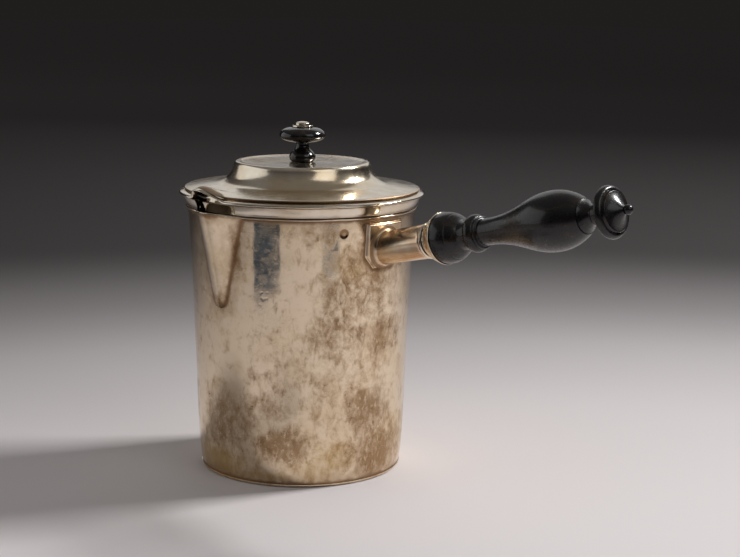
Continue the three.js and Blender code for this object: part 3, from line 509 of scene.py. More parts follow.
    def onto_handle(self, points):
        """Moves points turned about Z onto the handle's axis."""
        cos, sin = math.cos(self.handle.tilt), math.sin(self.handle.tilt)
        x, z = points[..., 0], points[..., 2]
        return np.stack([x * sin + z * cos, points[..., 1], -x * cos + z * sin + self.handle.height], -1)

    def to_wall(self, reach, around):
        """How far along the handle's axis a line at this distance and angle meets the plate."""
        height = self.plate_root + 0 * around
        x, y = reach * np.sin(around), -reach * np.cos(around)
        cos, sin = math.cos(self.handle.tilt), math.sin(self.handle.tilt)
        for _ in range(30):
            radius = self.wall_radius(height) + self.plate_face
            along = (np.sqrt(radius**2 - y**2) - x * sin) / cos
            height = -x * cos + along * sin + self.handle.height
        return along


# Curves


def at(points, along=0.0, out=0.0):
    """Points of a profile in millimetres, moved along the axis and out from it."""
    return [(out + r * MM, along + s * MM) for r, s in points]


def between(start, end, share):
    """The point that lies this share of the way from one point to another."""
    return (start[0] + (end[0] - start[0]) * share, start[1] + (end[1] - start[1]) * share)


def arc(x, y, wide, high, start, end, count=12):
    """Points on an ellipse between two angles."""
    angles = np.linspace(start, end, count + 1)
    return [(x + wide * math.cos(a), y + high * math.sin(a)) for a in angles]


def bend(start, control, end, count=10):
    """Points on a curve that leaves and arrives along its control point."""
    steps = np.linspace(0, 1, count + 1)
    return [between(between(start, control, k), between(control, end, k), k) for k in steps]


def softened(points, cut, count=4, closed=True):
    """The same outline with every sharp corner rounded, cut back by no more than the given length."""
    size = len(points)
    result = []
    for k, here in enumerate(points):
        if not closed and k in (0, size - 1):
            result.append(tuple(here))
            continue
        here = Vector(here)
        back = Vector(points[k - 1]) - here
        ahead = Vector(points[(k + 1) % size]) - here
        if back.length < 1e-9 or ahead.length < 1e-9 or back.angle(ahead) > STRAIGHT:
            result.append(tuple(here))
            continue
        reach = min(cut, 0.45 * back.length, 0.45 * ahead.length)
        start, end = here + back.normalized() * reach, here + ahead.normalized() * reach
        result.extend(bend(start, here, end, count))
    return result


def refined(points, longest):
    """The same line with its long steps split."""
    result = []
    for start, end in zip(points, points[1:]):
        span = math.hypot(end[0] - start[0], end[1] - start[1])
        count = max(1, math.ceil(span / longest))
        result.extend(between(start, end, k / count) for k in range(count))
    result.append(tuple(points[-1]))
    return result


def sheet_outline(face, thickness):
    """Closed outline of sheet metal whose outer face is given, thickened to the left of it."""
    line = np.array(face)
    along = np.gradient(line, axis=0)
    along /= np.linalg.norm(along, axis=1)[:, None]
    other = line + thickness * np.stack([-along[:, 1], along[:, 0]], 1)
    other[:, 0] = np.maximum(other[:, 0], min(line[-1][0], line[0][0]))
    return [tuple(p) for p in line] + [tuple(p) for p in other[::-1]]


def around_axis(radius, angles, height):
    """Points at these radii and heights. The angle grows from -Y toward +X."""
    return np.stack([radius * np.sin(angles), -radius * np.cos(angles), height + 0 * angles], -1)


def full_circle(count):
    return np.linspace(0, TURN, count, endpoint=False)


# Meshes


def linked(name, mesh):
    """A new object of this mesh in the scene."""
    obj = bpy.data.objects.new(name, mesh)
    bpy.context.scene.collection.objects.link(obj)
    return obj


def to_object(name, points, faces):
    """A mesh object from points and faces, with the doubled points of seams and poles joined."""
    mesh = bpy.data.meshes.new(name)
    mesh.from_pydata([tuple(p) for p in np.asarray(points).reshape(-1, 3)], [], faces)
    shape = bmesh.new()
    shape.from_mesh(mesh)
    bmesh.ops.remove_doubles(shape, verts=shape.verts, dist=DOUBLED)
    bmesh.ops.dissolve_degenerate(shape, edges=shape.edges, dist=DOUBLED / 2)
    for face in shape.faces:
        face.smooth = True
    for edge in shape.edges:
        if len(edge.link_faces) == 2 and edge.calc_face_angle(0) > SHARP:
            edge.smooth = False
    shape.to_mesh(mesh)
    shape.free()
    return linked(name, mesh)


def grid_faces(rows, columns, wrap_rows, wrap_columns, start=0, flip=False):
    """Four sided faces over a grid of points."""
    faces = []
    for r in range(rows if wrap_rows else rows - 1):
        for c in range(columns if wrap_columns else columns - 1):
            a = start + r * columns + c
            b = start + r * columns + (c + 1) % columns
            d = start + ((r + 1) % rows) * columns + c
            e = start + ((r + 1) % rows) * columns + (c + 1) % columns
            faces.append((a, d, e, b) if flip else (a, b, e, d))
    return faces


def turned(name, outline, columns=96, closed=False, place=None, angles=None):
    """A turned piece. The outline runs up its outer side."""
    line = np.array(outline)
    if angles is None:
        angles = full_circle(columns)
    grid = around_axis(line[:, :1], angles, line[:, 1:])
    if place:
        grid = place(grid)
    return to_object(name, grid, grid_faces(len(line), len(angles), closed, True))


def flat_ring(name, hole, radius, low, high, cut, columns=72, place=None):
    """A washer, bush or plate with softened edges."""
    section = softened([(hole, low), (radius, low), (radius, high), (hole, high)], cut)
    return turned(name, section, columns, True, place)


def open_band(name, outer, inner, gap, columns=240, place=None):
    """A turned band with an opening toward the spout. Gap gives half its width at each row."""
    rows = len(outer)
    line = np.concatenate([outer, inner[::-1]])
    half = np.concatenate([gap, gap[::-1]])
    start = np.arcsin(np.clip(half / line[:, 0], 0, 1))
    share = np.linspace(0, 1, columns + 1)
    angles = start[:, None] + (TURN - 2 * start[:, None]) * share
    grid = around_axis(line[:, :1], angles, line[:, 1:])
    if place:
        grid = place(grid)
    width = columns + 1
    faces = grid_faces(2 * rows, width, True, False)
    for r in range(rows - 1):
        if gap[r] <= 0 and gap[r + 1] <= 0:
            continue
        outside, above = r * width, (r + 1) * width
        within, within_above = (2 * rows - 1 - r) * width, (2 * rows - 2 - r) * width
        faces.append((outside, above, within_above, within))
        last = width - 1
        faces.append((outside + last, within + last, within_above + last, above + last))
    return to_object(name, grid, faces)


def shell(name, front, back):
    """A closed sheet between two grids of points. The front is seen from its outer side."""
    rows, columns = front.shape[:2]
    count = rows * columns
    faces = grid_faces(rows, columns, False, False)
    faces += grid_faces(rows, columns, False, False, count, flip=True)
    rim = [(0, c) for c in range(columns)] + [(r, columns - 1) for r in range(1, rows)]
    rim += [(rows - 1, c) for c in range(columns - 2, -1, -1)] + [(r, 0) for r in range(rows - 2, 0, -1)]
    flat = [r * columns + c for r, c in rim]
    for here, ahead in zip(flat, flat[1:] + flat[:1]):
        faces.append((ahead, here, here + count, ahead + count))
    return to_object(name, np.concatenate([front.reshape(-1, 3), back.reshape(-1, 3)]), faces)


def mark_seams(obj, distance):
    """Keeps each point's distance from the nearest joint or crease, for the grime in the material."""
    mesh = obj.data
    places = np.zeros(len(mesh.vertices) * 3)
    mesh.vertices.foreach_get("co", places)
    values = np.full(len(mesh.vertices), FAR)
    if distance:
        values = distance(*places.reshape(-1, 3).T)
    layer = mesh.attributes.new("seam", "FLOAT", "POINT")
    layer.data.foreach_set("value", np.asarray(values, np.float32))


def finish_piece(obj, body, node, finish_name, seam=None):
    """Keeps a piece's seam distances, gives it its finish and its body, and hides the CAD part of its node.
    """
    mark_seams(obj, seam)
    obj.data.materials.clear()
    obj.data.materials.append(finish(finish_name))
    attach(obj, body)
    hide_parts(node)


# Nodes


FLOAT, VECTOR = "NodeSocketFloat", "NodeSocketVector"


class Builder:
    """Adds nodes to one tree and joins them."""

    def __init__(self, tree):
        self.tree = tree

    def add(self, kind, inputs=None, **settings):
        node = self.tree.nodes.new(kind)
        for key, value in settings.items():
            setattr(node, key, value)
        for key, value in (inputs or {}).items():
            self.put(node.inputs[key], value)
        return node

    def put(self, socket, value):
        if isinstance(value, bpy.types.NodeSocket):
            self.tree.links.new(value, socket)
        else:
            socket.default_value = value

    def math(self, operation, *values):
        return self.add("ShaderNodeMath", dict(enumerate(values)), operation=operation).outputs[0]

    def times(self, first, second):
        return self.math("MULTIPLY", first, second)

    def plus(self, first, second):
        return self.math("ADD", first, second)

    def minus(self, first, second):
        return self.math("SUBTRACT", first, second)

    def larger(self, first, second):
        return self.math("MAXIMUM", first, second)

    def length(self, x, y):
        return self.math("SQRT", self.plus(self.times(x, x), self.times(y, y)))

    def split(self, vector):
        return self.add("ShaderNodeSeparateXYZ", {0: vector}).outputs

    def join(self, x, y, z=0.0):
        return self.add("ShaderNodeCombineXYZ", {0: x, 1: y, 2: z}).outputs[0]

    def vector(self, operation, values, output):
        return self.add("ShaderNodeVectorMath", dict(enumerate(values)), operation=operation).outputs[output]

    def ramp(self, value, low, high, start=0.0):
        """A value carried smoothly from start, at low, to 1, at high, and held at both ends."""
        inputs = dict(enumerate((value, low, high, start, 1.0)))
        return self.add("ShaderNodeMapRange", inputs, interpolation_type="SMOOTHSTEP").outputs[0]

    def blend(self, share, first, second):
        """One colour laid over another."""
        return self.add("ShaderNodeMix", {0: share, 6: first, 7: second}, data_type="RGBA").outputs[2]

    def noise(self, vector, scale, detail=3.0, roughness=0.55, distortion=0.0):
        inputs = {"Vector": vector, "Scale": scale, "Detail": detail}
        inputs |= {"Roughness": roughness, "Distortion": distortion}
        return self.add("ShaderNodeTexNoise", inputs).outputs["Fac"]

    def stretch(self, vector, scale, turn=(0, 0, 0)):
        inputs = {"Vector": vector, "Rotation": turn, "Scale": scale}
        return self.add("ShaderNodeMapping", inputs).outputs[0]

    def bump(self, shader, height, strength, distance):
        """Raises the surface by a height, in metres where it is 1."""
        inputs = {"Strength": strength, "Distance": distance, "Height": height}
        self.put(shader.inputs["Normal"], self.add("ShaderNodeBump", inputs).outputs[0])

    def group(self, name, make, **inputs):
        """The outputs of a shared node group with these values."""
        node = self.add("ShaderNodeGroup", node_tree=shared(name, make))
        for key, value in inputs.items():
            self.put(node.inputs[key.replace("_", " ")], value)
        return node.outputs


def rgba(colour):
    return (*colour, 1.0)


def new_group(name, inputs, outputs, kind="ShaderNodeTree"):
    """An empty node group with named inputs and outputs, and the builder for it."""
    tree = bpy.data.node_groups.new(name, kind)
    for label, socket, default in inputs:
        item = tree.interface.new_socket(name=label, in_out="INPUT", socket_type=socket)
        if default is not None:
            item.default_value = default
    for label, socket in outputs:
        tree.interface.new_socket(name=label, in_out="OUTPUT", socket_type=socket)
    build = Builder(tree)
    return build, build.add("NodeGroupInput").outputs, build.add("NodeGroupOutput").inputs


def shared(name, make):
    """The node group of this name, made the first time it is asked for."""
    return bpy.data.node_groups.get(name) or make(name)


def new_material(name):
    """A material with its Principled shader, a builder and the object's coordinates."""
    material = bpy.data.materials.new(name)
    material.use_nodes = True
    material.node_tree.nodes.clear()
    build = Builder(material.node_tree)
    shader = build.add("ShaderNodeBsdfPrincipled")
    build.add("ShaderNodeOutputMaterial", {"Surface": shader.outputs["BSDF"]})
    place = build.add("ShaderNodeTexCoord").outputs["Object"]
    return material, build, shader, place


# Effects that several finishes share


def axis_group(name):
    """Angle from the spout toward the handle, height, and coordinates wrapped round the axis."""
    outputs = [("Angle", FLOAT), ("Height", FLOAT), ("Wrapped", VECTOR)]
    b, get, out = new_group(name, [("Vector", VECTOR, None)], outputs)
    x, y, z = b.split(get["Vector"])
    angle = b.math("ARCTAN2", x, b.times(y, -1.0))
    b.put(out["Angle"], angle)
    b.put(out["Height"], z)
    b.put(out["Wrapped"], b.join(b.times(angle, WRAP_RADIUS), b.length(x, y), z))
    return b.tree


def patch_group(name):
    """One ragged patch of film at a place round the jug."""
    defaults = {"Angle": 0.0, "Height": 0.0, "Ragged": 0.5, "At Angle": 0.0, "At Height": 0.0}
    defaults |= {"Wide": 0.2, "High": 0.01, "Fringe": 1.0}
    inputs = [(label, FLOAT, value) for label, value in defaults.items()]
    b, get, out = new_group(name, inputs, [("Mask", FLOAT)])
    turn = b.math("WRAP", b.minus(get["Angle"], get["At Angle"]), math.pi, -math.pi)
    across = b.math("DIVIDE", turn, get["Wide"])
    up = b.math("DIVIDE", b.minus(get["Height"], get["At Height"]), get["High"])
    ragged = b.times(b.minus(get["Ragged"], 0.5), get["Fringe"])
    b.put(out["Mask"], b.ramp(b.plus(b.length(across, up), ragged), 1.7, 0.1))
    return b.tree


def scratch_group(name):
    """Fine hairlines left by cleaning, in two directions."""
    b, get, out = new_group(name, [("Vector", VECTOR, None)], [("Mask", FLOAT)])
    first = b.noise(b.stretch(get["Vector"], (300, 300, 5200), (0.2, 0, 0)), 1.0, 2.0)
    second = b.noise(b.stretch(get["Vector"], (350, 350, 4300), (0, 0.5, 0.3)), 1.0, 2.0)
    b.put(out["Mask"], b.larger(b.ramp(first, 0.66, 0.78), b.ramp(second, 0.68, 0.80)))
    return b.tree


def raised_group(name):
    """Slow waves and small knocks of a wall raised by hand."""
    b, get, out = new_group(name, [("Vector", VECTOR, None), ("Waves", FLOAT, 1.0)], [("Height", FLOAT)])
    waves = b.times(b.noise(get["Vector"], 34.0, 2.0), get["Waves"])
    knocks = b.times(b.ramp(b.noise(get["Vector"], 170.0, 2.0), 0.62, 0.82), get["Waves"])
    b.put(out["Height"], b.minus(waves, b.times(knocks, 0.12)))
    return b.tree


def grime_group(name):
    """Dark film that gathers along joints and creases."""
    inputs = [("Seam", FLOAT, 0.01), ("Vector", VECTOR, None)]
    inputs += [("Reach", FLOAT, 0.001), ("Uneven", FLOAT, 0.5)]
    b, get, out = new_group(name, inputs, [("Mask", FLOAT)])
    wander = b.minus(b.noise(get["Vector"], 260.0, 3.0), 0.5)
    share = b.plus(1.0, b.times(wander, b.times(get["Uneven"], 3.0)))
    reach = b.times(get["Reach"], b.larger(share, 0.05))
    b.put(out["Mask"], b.ramp(get["Seam"], reach, 0.0))
    return b.tree


def grain_group(name):
    """Streaks and pores of turned ebony along its axis, and the rings left by the tool."""
    outputs = [("Streaks", FLOAT), ("Pores", FLOAT), ("Tooling", FLOAT)]
    b, get, out = new_group(name, [("Vector", VECTOR, None), ("Rings", FLOAT, 0.5)], outputs)
    vector = get["Vector"]
    streaks = b.noise(b.stretch(vector, (260, 260, 14)), 1.0, 4.0, 0.6, 0.4)
    pores = b.noise(b.stretch(vector, (2300, 2300, 120)), 1.0, 2.0)
    rings = b.noise(b.stretch(vector, (3, 3, 2600)), 1.0, 2.0)
    b.put(out["Streaks"], b.ramp(streaks, 0.48, 0.75))
    b.put(out["Pores"], b.ramp(pores, 0.62, 0.74))
    b.put(out["Tooling"], b.times(rings, get["Rings"]))
    return b.tree


# Finishes

WRAP_RADIUS = 0.05  # turns an angle into a length round the jug
DIMPLE_TURN = math.radians(66)
DIMPLE_HEIGHT = 115 * MM
INSIDE_START, INSIDE_FULL = -0.004, -0.02  # normal times place, where it shows the inside of the wall
COAT_ROUGHNESS = 0.06
EBONY_SPECULAR = 0.35
RAISED_BUMP, WOOD_BUMP, PITTED_BUMP = 0.4 * MM, 0.3 * MM, 0.1 * MM

# Film seen on the jug's wall: angle and height of the middle, half width, half height, fringe, strength
BROWN_PATCHES = (
    (80.0, 88.0, 26.0, 15.0, 1.4, 0.52),
    (66.0, 68.0, 24.0, 16.0, 1.6, 0.50),
    (72.0, 104.0, 13.0, 12.0, 1.8, 0.46),
    (92.0, 65.0, 16.0, 13.0, 1.6, 0.56),
    (23.0, 52.0, 10.0, 7.0, 2.0, 0.34),
    (84.0, 35.0, 17.0, 15.0, 1.8, 0.66),
    (92.0, 12.0, 24.0, 13.0, 1.6, 0.74),
    (4.0, 27.0, 27.0, 17.0, 1.6, 0.58),
    (12.0, 106.0, 3.0, 14.0, 2.0, 0.55),
    (0.0, 83.0, 6.0, 4.0, 2.0, 0.55),
    (37.0, 19.0, 17.0, 10.0, 1.8, 0.72),
    (29.0, 37.0, 9.0, 7.0, 1.8, 0.52),
    (60.0, 88.0, 7.0, 5.0, 2.2, 0.50),
    (62.0, 46.0, 50.0, 34.0, 1.2, 0.32),
    (54.0, 114.0, 20.0, 6.0, 2.0, 0.42),
    (100.0, 106.0, 16.0, 10.0, 1.6, 0.50),
    (150.0, 84.0, 26.0, 20.0, 1.8, 0.46),
    (175.0, 22.0, 30.0, 16.0, 1.8, 0.52),
    (220.0, 46.0, 26.0, 18.0, 1.8, 0.48),
    (262.0, 90.0, 24.0, 22.0, 1.8, 0.44),
    (305.0, 28.0, 26.0, 18.0, 1.8, 0.50),
)
GOLD_PATCHES = (
    (-8.0, 7.0, 24.0, 9.0, 1.2, 0.85),
    (22.0, 4.0, 16.0, 5.0, 1.6, 0.70),
    (60.0, 12.0, 22.0, 10.0, 1.8, 0.50),
    (75.0, 100.0, 16.0, 12.0, 1.8, 0.40),
    (120.0, 18.0, 30.0, 12.0, 1.8, 0.60),
    (200.0, 92.0, 24.0, 16.0, 2.0, 0.50),
    (280.0, 60.0, 26.0, 18.0, 2.0, 0.50),
)


def lay_patches(b, colour, film, around, edge, mottle, patches, thickness, spread):
    """Lays one film over a colour at each of its places, broken up by a mottle, and gives where it lies."""
    total = spread
    for angle, height, wide, high, fringe, strength in patches:
        place = {"Angle": around["Angle"], "Height": around["Height"], "Ragged": edge, "Fringe": fringe}
        place |= {"At_Angle": math.radians(angle), "At_Height": height * MM}
        place |= {"Wide": math.radians(wide), "High": high * MM}
        mask = b.group("Film Patch", patch_group, **place)["Mask"]
        total = b.larger(total, b.times(mask, strength))
    share = b.times(b.ramp(b.plus(mottle, b.times(total, 0.42)), 0.52, 0.84), thickness)
    return b.blend(share, colour, film), share


def lay_wall_films(b, colours, base, place, around, mottle, colour):
    """Gold and brown films of the wall, with dark spots and wiped flakes in the brown."""
    wrapped = around["Wrapped"]
    edge = b.noise(place, 60.0, 4.0, 0.6)
    wiped = b.noise(b.stretch(wrapped, (260, 260, 150), (0, 0.5, 0)), 1.0, 6.0, 0.7, 0.8)
    broken = b.plus(b.times(b.noise(place, 170.0, 8.0, 0.72), 0.5), b.times(wiped, 0.5))
    gold_film, brown_film = rgba(colours.gold_film), rgba(colours.brown_film)
    colour, gold = lay_patches(b, colour, gold_film, around, edge, broken, GOLD_PATCHES, 0.9, 0.0)
    colour, brown = lay_patches(b, colour, brown_film, around, edge, broken, BROWN_PATCHES, 0.95, 0.10)
    spots = b.times(b.ramp(mottle, 0.56, 0.66), b.ramp(brown, 0.35, 0.9))
    colour = b.blend(b.times(spots, 0.45), colour, rgba(colours.tarnish))
    chips = b.noise(b.stretch(wrapped, (900, 900, 420), (0, 0.7, 0)), 1.0, 4.0, 0.7)
    flakes = b.times(b.ramp(chips, 0.56, 0.66), b.ramp(brown, 0.05, 0.6))
    return b.blend(b.times(flakes, 0.55), colour, rgba(base)), gold, brown


def dimple_masks(b, place):
    """The dark ring and the hollow of the round mark beside the handle."""
    radius = float(Form(bpy.context.scene).wall_radius(DIMPLE_HEIGHT))
    middle = (radius * math.sin(DIMPLE_TURN), -radius * math.cos(DIMPLE_TURN), DIMPLE_HEIGHT)
    away = b.vector("DISTANCE", (place, middle), "Value")
    ring = b.times(b.ramp(away, 2.5 * MM, 2.0 * MM), b.ramp(away, 0.3 * MM, 1.2 * MM, 0.4))
    return ring, b.ramp(away, 2.3 * MM, 0.9 * MM)


def silver_material(
    name, colours, base, warm, rough, grime, share, waves, patches=False, copper=0.0, brushed=0.0
):
    """Old silver with a thin uneven film, grime along its joints, hairlines and hand raised waves."""
    material, b, shader, place = new_material(name)
    base = getattr(colours, base)
    around = b.group("Round The Axis", axis_group, Vector=place)
    mottle = b.noise(place, 210.0, 4.0, 0.62)
    film = b.times(b.ramp(b.noise(place, 42.0, 5.0, 0.6), 0.42, 0.68), warm)
    colour = b.blend(film, rgba(base), rgba(colours.gold_film))
    dull = b.times(b.ramp(mottle, 0.60, 0.78), 0.30 * warm)
    colour = b.blend(dull, colour, rgba(colours.tarnish))
    if copper:
        reddened = b.times(b.ramp(b.noise(place, 75.0, 4.0, 0.6), 0.40, 0.62), copper)
        colour = b.blend(reddened, colour, rgba(colours.copper_film))
        dull = b.larger(dull, b.times(reddened, 0.4))
    if patches:
        colour, gold, brown = lay_wall_films(b, colours, base, place, around, mottle, colour)
        dull = b.larger(dull, b.larger(brown, b.times(gold, 0.5)))
        ring, hollow = dimple_masks(b, place)
        colour = b.blend(b.times(ring, 0.9), colour, rgba(colours.tarnish))
    seam = b.add("ShaderNodeAttribute", attribute_name="seam").outputs["Fac"]
    joint = {"Seam": seam, "Vector": place}
    line = b.group("Seam Grime", grime_group, Reach=grime, Uneven=0.8, **joint)["Mask"]
    halo = b.group("Seam Grime", grime_group, Reach=grime * 4, Uneven=1.0, **joint)["Mask"]
    colour = b.blend(b.times(halo, 0.45 * share), colour, rgba(colours.brown_film))
    colour = b.blend(b.times(line, share), colour, rgba(colours.tarnish))
    scratch = b.group("Hairlines", scratch_group, Vector=around["Wrapped"])["Mask"]
    colour = b.blend(b.times(scratch, 0.22), colour, rgba(colours.bright))
    if patches:
        facing = b.add("ShaderNodeNewGeometry").outputs["Normal"]
        outward = b.vector("DOT_PRODUCT", (facing, b.stretch(place, (1, 1, 0))), "Value")
        inside = b.ramp(outward, INSIDE_START, INSIDE_FULL)
        colour = b.blend(b.times(inside, 0.8), colour, rgba(colours.scale))
        b.put(shader.inputs["Metallic"], b.minus(1.0, b.times(inside, 0.95)))
        dull = b.larger(dull, inside)
    else:
        shader.inputs["Metallic"].default_value = 1.0
    b.put(shader.inputs["Base Color"], colour)
    roughness = b.plus(b.plus(rough, b.times(dull, 0.24)), b.times(line, 0.25))
    b.put(shader.inputs["Roughness"], b.plus(roughness, b.times(b.ramp(mottle, 0.35, 0.7), 0.05)))
    height = b.group("Hand Raised", raised_group, Vector=place, Waves=waves)["Height"]
    height = b.plus(height, b.times(scratch, 0.02))
    if patches:
        height = b.plus(b.minus(height, b.times(hollow, 0.8)), b.times(brown, 0.06))
    if brushed:
        rings = b.noise(b.stretch(around["Wrapped"], (40, 3200, 3200)), 1.0, 3.0)
        height = b.plus(height, b.times(rings, brushed))
    b.bump(shader, height, 1.0, RAISED_BUMP)
    return material


def ebony_material(name, colours, on_handle, rough, coat):
    """Turned ebony, waxed or polished, with faint streaks and tool rings."""
    material, b, shader, place = new_material(name)
    vector = place
    if on_handle:
        handle = Form(bpy.context.scene).handle
        inputs = {"Vector": place, "Location": (0, 0, handle.height)}
        inputs["Rotation"] = (0, math.pi / 2 - handle.tilt, 0)
        vector = b.add("ShaderNodeMapping", inputs, vector_type="TEXTURE").outputs[0]
    wood = b.group("Turned Ebony", grain_group, Vector=vector, Rings=0.5)
    dust = b.ramp(b.noise(place, 150.0, 5.0, 0.65), 0.52, 0.8)
    colour = b.blend(wood["Streaks"], rgba(colours.ebony), rgba(colours.ebony_grain))
    b.put(shader.inputs["Base Color"], b.blend(b.times(dust, 0.06), colour, rgba(colours.wood_dust)))
    roughness = b.plus(rough, b.times(dust, 0.16))
    b.put(shader.inputs["Roughness"], b.plus(roughness, b.times(wood["Pores"], 0.12)))
    shader.inputs["Coat Weight"].default_value = coat
    shader.inputs["Coat Roughness"].default_value = COAT_ROUGHNESS
    shader.inputs["Specular IOR Level"].default_value = EBONY_SPECULAR
    height = b.minus(b.times(wood["Tooling"], 0.10), b.times(wood["Pores"], 0.10))
    b.bump(shader, b.plus(height, b.times(b.noise(vector, 420.0, 3.0), 0.08)), 0.6, WOOD_BUMP)
    return material


def steel_material(name, colours):
    """Dull old steel with small pits and brown spots."""
    material, b, shader, place = new_material(name)
    spots = b.ramp(b.noise(place, 520.0, 5.0, 0.65), 0.54, 0.68)
    clouds = b.noise(place, 140.0, 4.0)
    colour = b.blend(b.times(clouds, 0.6), rgba(colours.steel), rgba(colours.dull_steel))
    b.put(shader.inputs["Base Color"], b.blend(b.times(spots, 0.6), colour, rgba(colours.rust)))
    shader.inputs["Metallic"].default_value = 1.0
    b.put(shader.inputs["Roughness"], b.plus(0.34, b.times(spots, 0.3)))
    b.bump(shader, b.minus(b.noise(place, 1500.0, 3.0), spots), 0.5, PITTED_BUMP)
    return material


# Each finish: what makes it and its values
FINISHES = {
    "Jug Silver": (silver_material, dict(
        base="warm_silver", warm=0.30, rough=0.075, grime=2.1 * MM, share=0.9, waves=1.0, patches=True
    )),
    "Lid Silver": (silver_material, dict(
        base="silver", warm=0.50, rough=0.17, grime=0.45 * MM, share=0.6, waves=0.4, brushed=0.012
    )),
    "Moulding Silver": (silver_material, dict(
        base="silver", warm=0.35, rough=0.12, grime=0.4 * MM, share=0.7, waves=0.3
    )),
    "Soldered Silver": (silver_material, dict(
        base="warm_silver", warm=0.50, rough=0.18, grime=0.9 * MM, share=0.8, waves=0.5, copper=0.40
    )),
    "Waxed Ebony": (ebony_material, dict(on_handle=True, rough=0.27, coat=0.22)),
    "Polished Ebony": (ebony_material, dict(on_handle=False, rough=0.10, coat=0.35)),
    "Old Steel": (steel_material, {}),
}


def finish(name):
    """The finish of this name, made the first time it is asked for."""
    make, values = FINISHES[name]
    found = bpy.data.materials.get(name)
    return found or make(name, bpy.context.scene.milk_jug_finish, **values)


# Rim wires, made with Geometry Nodes


def rim_wire_tree(name, hooded):
    """A wire swept round a rim that rises where the spout or the hood is."""
    sizes = {"Radius": 0.05, "Height": 0.1, "Half Span": 0.01, "Reach": 0.005, "Rise": 0.002}
    sizes |= {"Half Width": 0.001, "Half Height": 0.0006, "Squareness": 1.0, "Slope": 0.0, "Narrowing": 0.0}
    inputs = [(label, FLOAT, value) for label, value in sizes.items()]
    inputs.append(("Material", "NodeSocketMaterial", None))
    b, get, out = new_group(name, inputs, [("Geometry", "NodeSocketGeometry")], "GeometryNodeTree")
    ring = b.add("GeometryNodeCurvePrimitiveCircle", {"Resolution": 720, "Radius": get["Radius"]})
    x, y, _ = b.split(b.add("GeometryNodeInputPosition").outputs[0])
    if hooded:
        angle = b.math("ABSOLUTE", b.math("ARCTAN2", x, b.times(y, -1.0)))
        share = b.math("MINIMUM", b.math("DIVIDE", angle, get["Half Span"]), 1.0)
        lift = b.times(0.5, b.plus(1.0, b.math("COSINE", b.times(share, math.pi))))
        side = b.math("DIVIDE", x, get["Radius"])
        front = b.math("DIVIDE", y, get["Radius"])
    else:
        share = b.math("MINIMUM", b.math("DIVIDE", b.math("ABSOLUTE", x), get["Half Span"]), 1.0)
        edge = math.hypot(1, SPOUT_RIDGE)
        bow = b.math("SQRT", b.plus(b.times(share, share), SPOUT_RIDGE**2))
        lift = b.math("DIVIDE", b.minus(edge, bow), edge - SPOUT_RIDGE)
        lift = b.times(lift, b.math("LESS_THAN", y, 0.0))
        side, front = 0.0, -1.0
    out_by = b.times(lift, get["Reach"])
    height = b.plus(get["Height"], b.times(lift, get["Rise"]))
    move = b.join(b.times(out_by, side), b.times(out_by, front), height)
    path = b.add("GeometryNodeSetPosition", {"Geometry": ring.outputs[0], "Offset": move})
    upright = b.add("GeometryNodeSetCurveNormal", {"Curve": path.outputs[0]}, mode="Z_UP")
    thin = b.math("MINIMUM", b.times(lift, 6.0), 1.0)
    thin = b.minus(1.0, b.times(get["Narrowing"], thin))

    section = b.add("GeometryNodeCurvePrimitiveCircle", {"Resolution": 40, "Radius": 1.0})
    squared = []
    for part in list(b.split(b.add("GeometryNodeInputPosition").outputs[0]))[:2]:
        size = b.math("POWER", b.math("ABSOLUTE", part), get["Squareness"])
        squared.append(b.times(b.math("SIGN", part), size))
    outward, down = squared
    full = b.minus(b.minus(1.0, get["Slope"]), b.times(outward, get["Slope"]))
    down = b.minus(1.0, b.times(b.minus(1.0, down), full))
    place = b.join(b.times(outward, get["Half Width"]), b.times(down, get["Half Height"]))
    oval = b.add("GeometryNodeSetPosition", {"Geometry": section.outputs[0], "Position": place})

    sweep = {"Curve": upright.outputs[0], "Profile Curve": oval.outputs[0], "Scale": thin}
    wire = b.add("GeometryNodeCurveToMesh", sweep)
    for kind in ("GeometryNodeSetShadeSmooth", "GeometryNodeRealizeInstances"):
        wire = b.add(kind, {"Geometry": wire.outputs[0]})
    coated = {"Geometry": wire.outputs[0], "Material": get["Material"]}
    b.put(out["Geometry"], b.add("GeometryNodeSetMaterial", coated).outputs[0])
    return b.tree


def grown_by_nodes(name, tree, values):
    """Runs a Geometry Nodes tree with these inputs and keeps its result as a plain mesh."""
    source = linked(name + "_source", bpy.data.meshes.new(name + "_source"))
    modifier = source.modifiers.new("Nodes", "NODES")
    modifier.node_group = tree
    for item in tree.interface.items_tree:
        if item.item_type == "SOCKET" and item.in_out == "INPUT":
            modifier[item.identifier] = values[item.name]
    bpy.context.view_layer.update()
    evaluated = source.evaluated_get(bpy.context.evaluated_depsgraph_get())
    mesh = bpy.data.meshes.new_from_object(evaluated)
    source.modifiers.clear()
    bpy.data.objects.remove(source)
    mesh.name = name
    if not mesh.polygons:
        raise RuntimeError(name + " came out empty")
    return linked(name, mesh)


# The jug


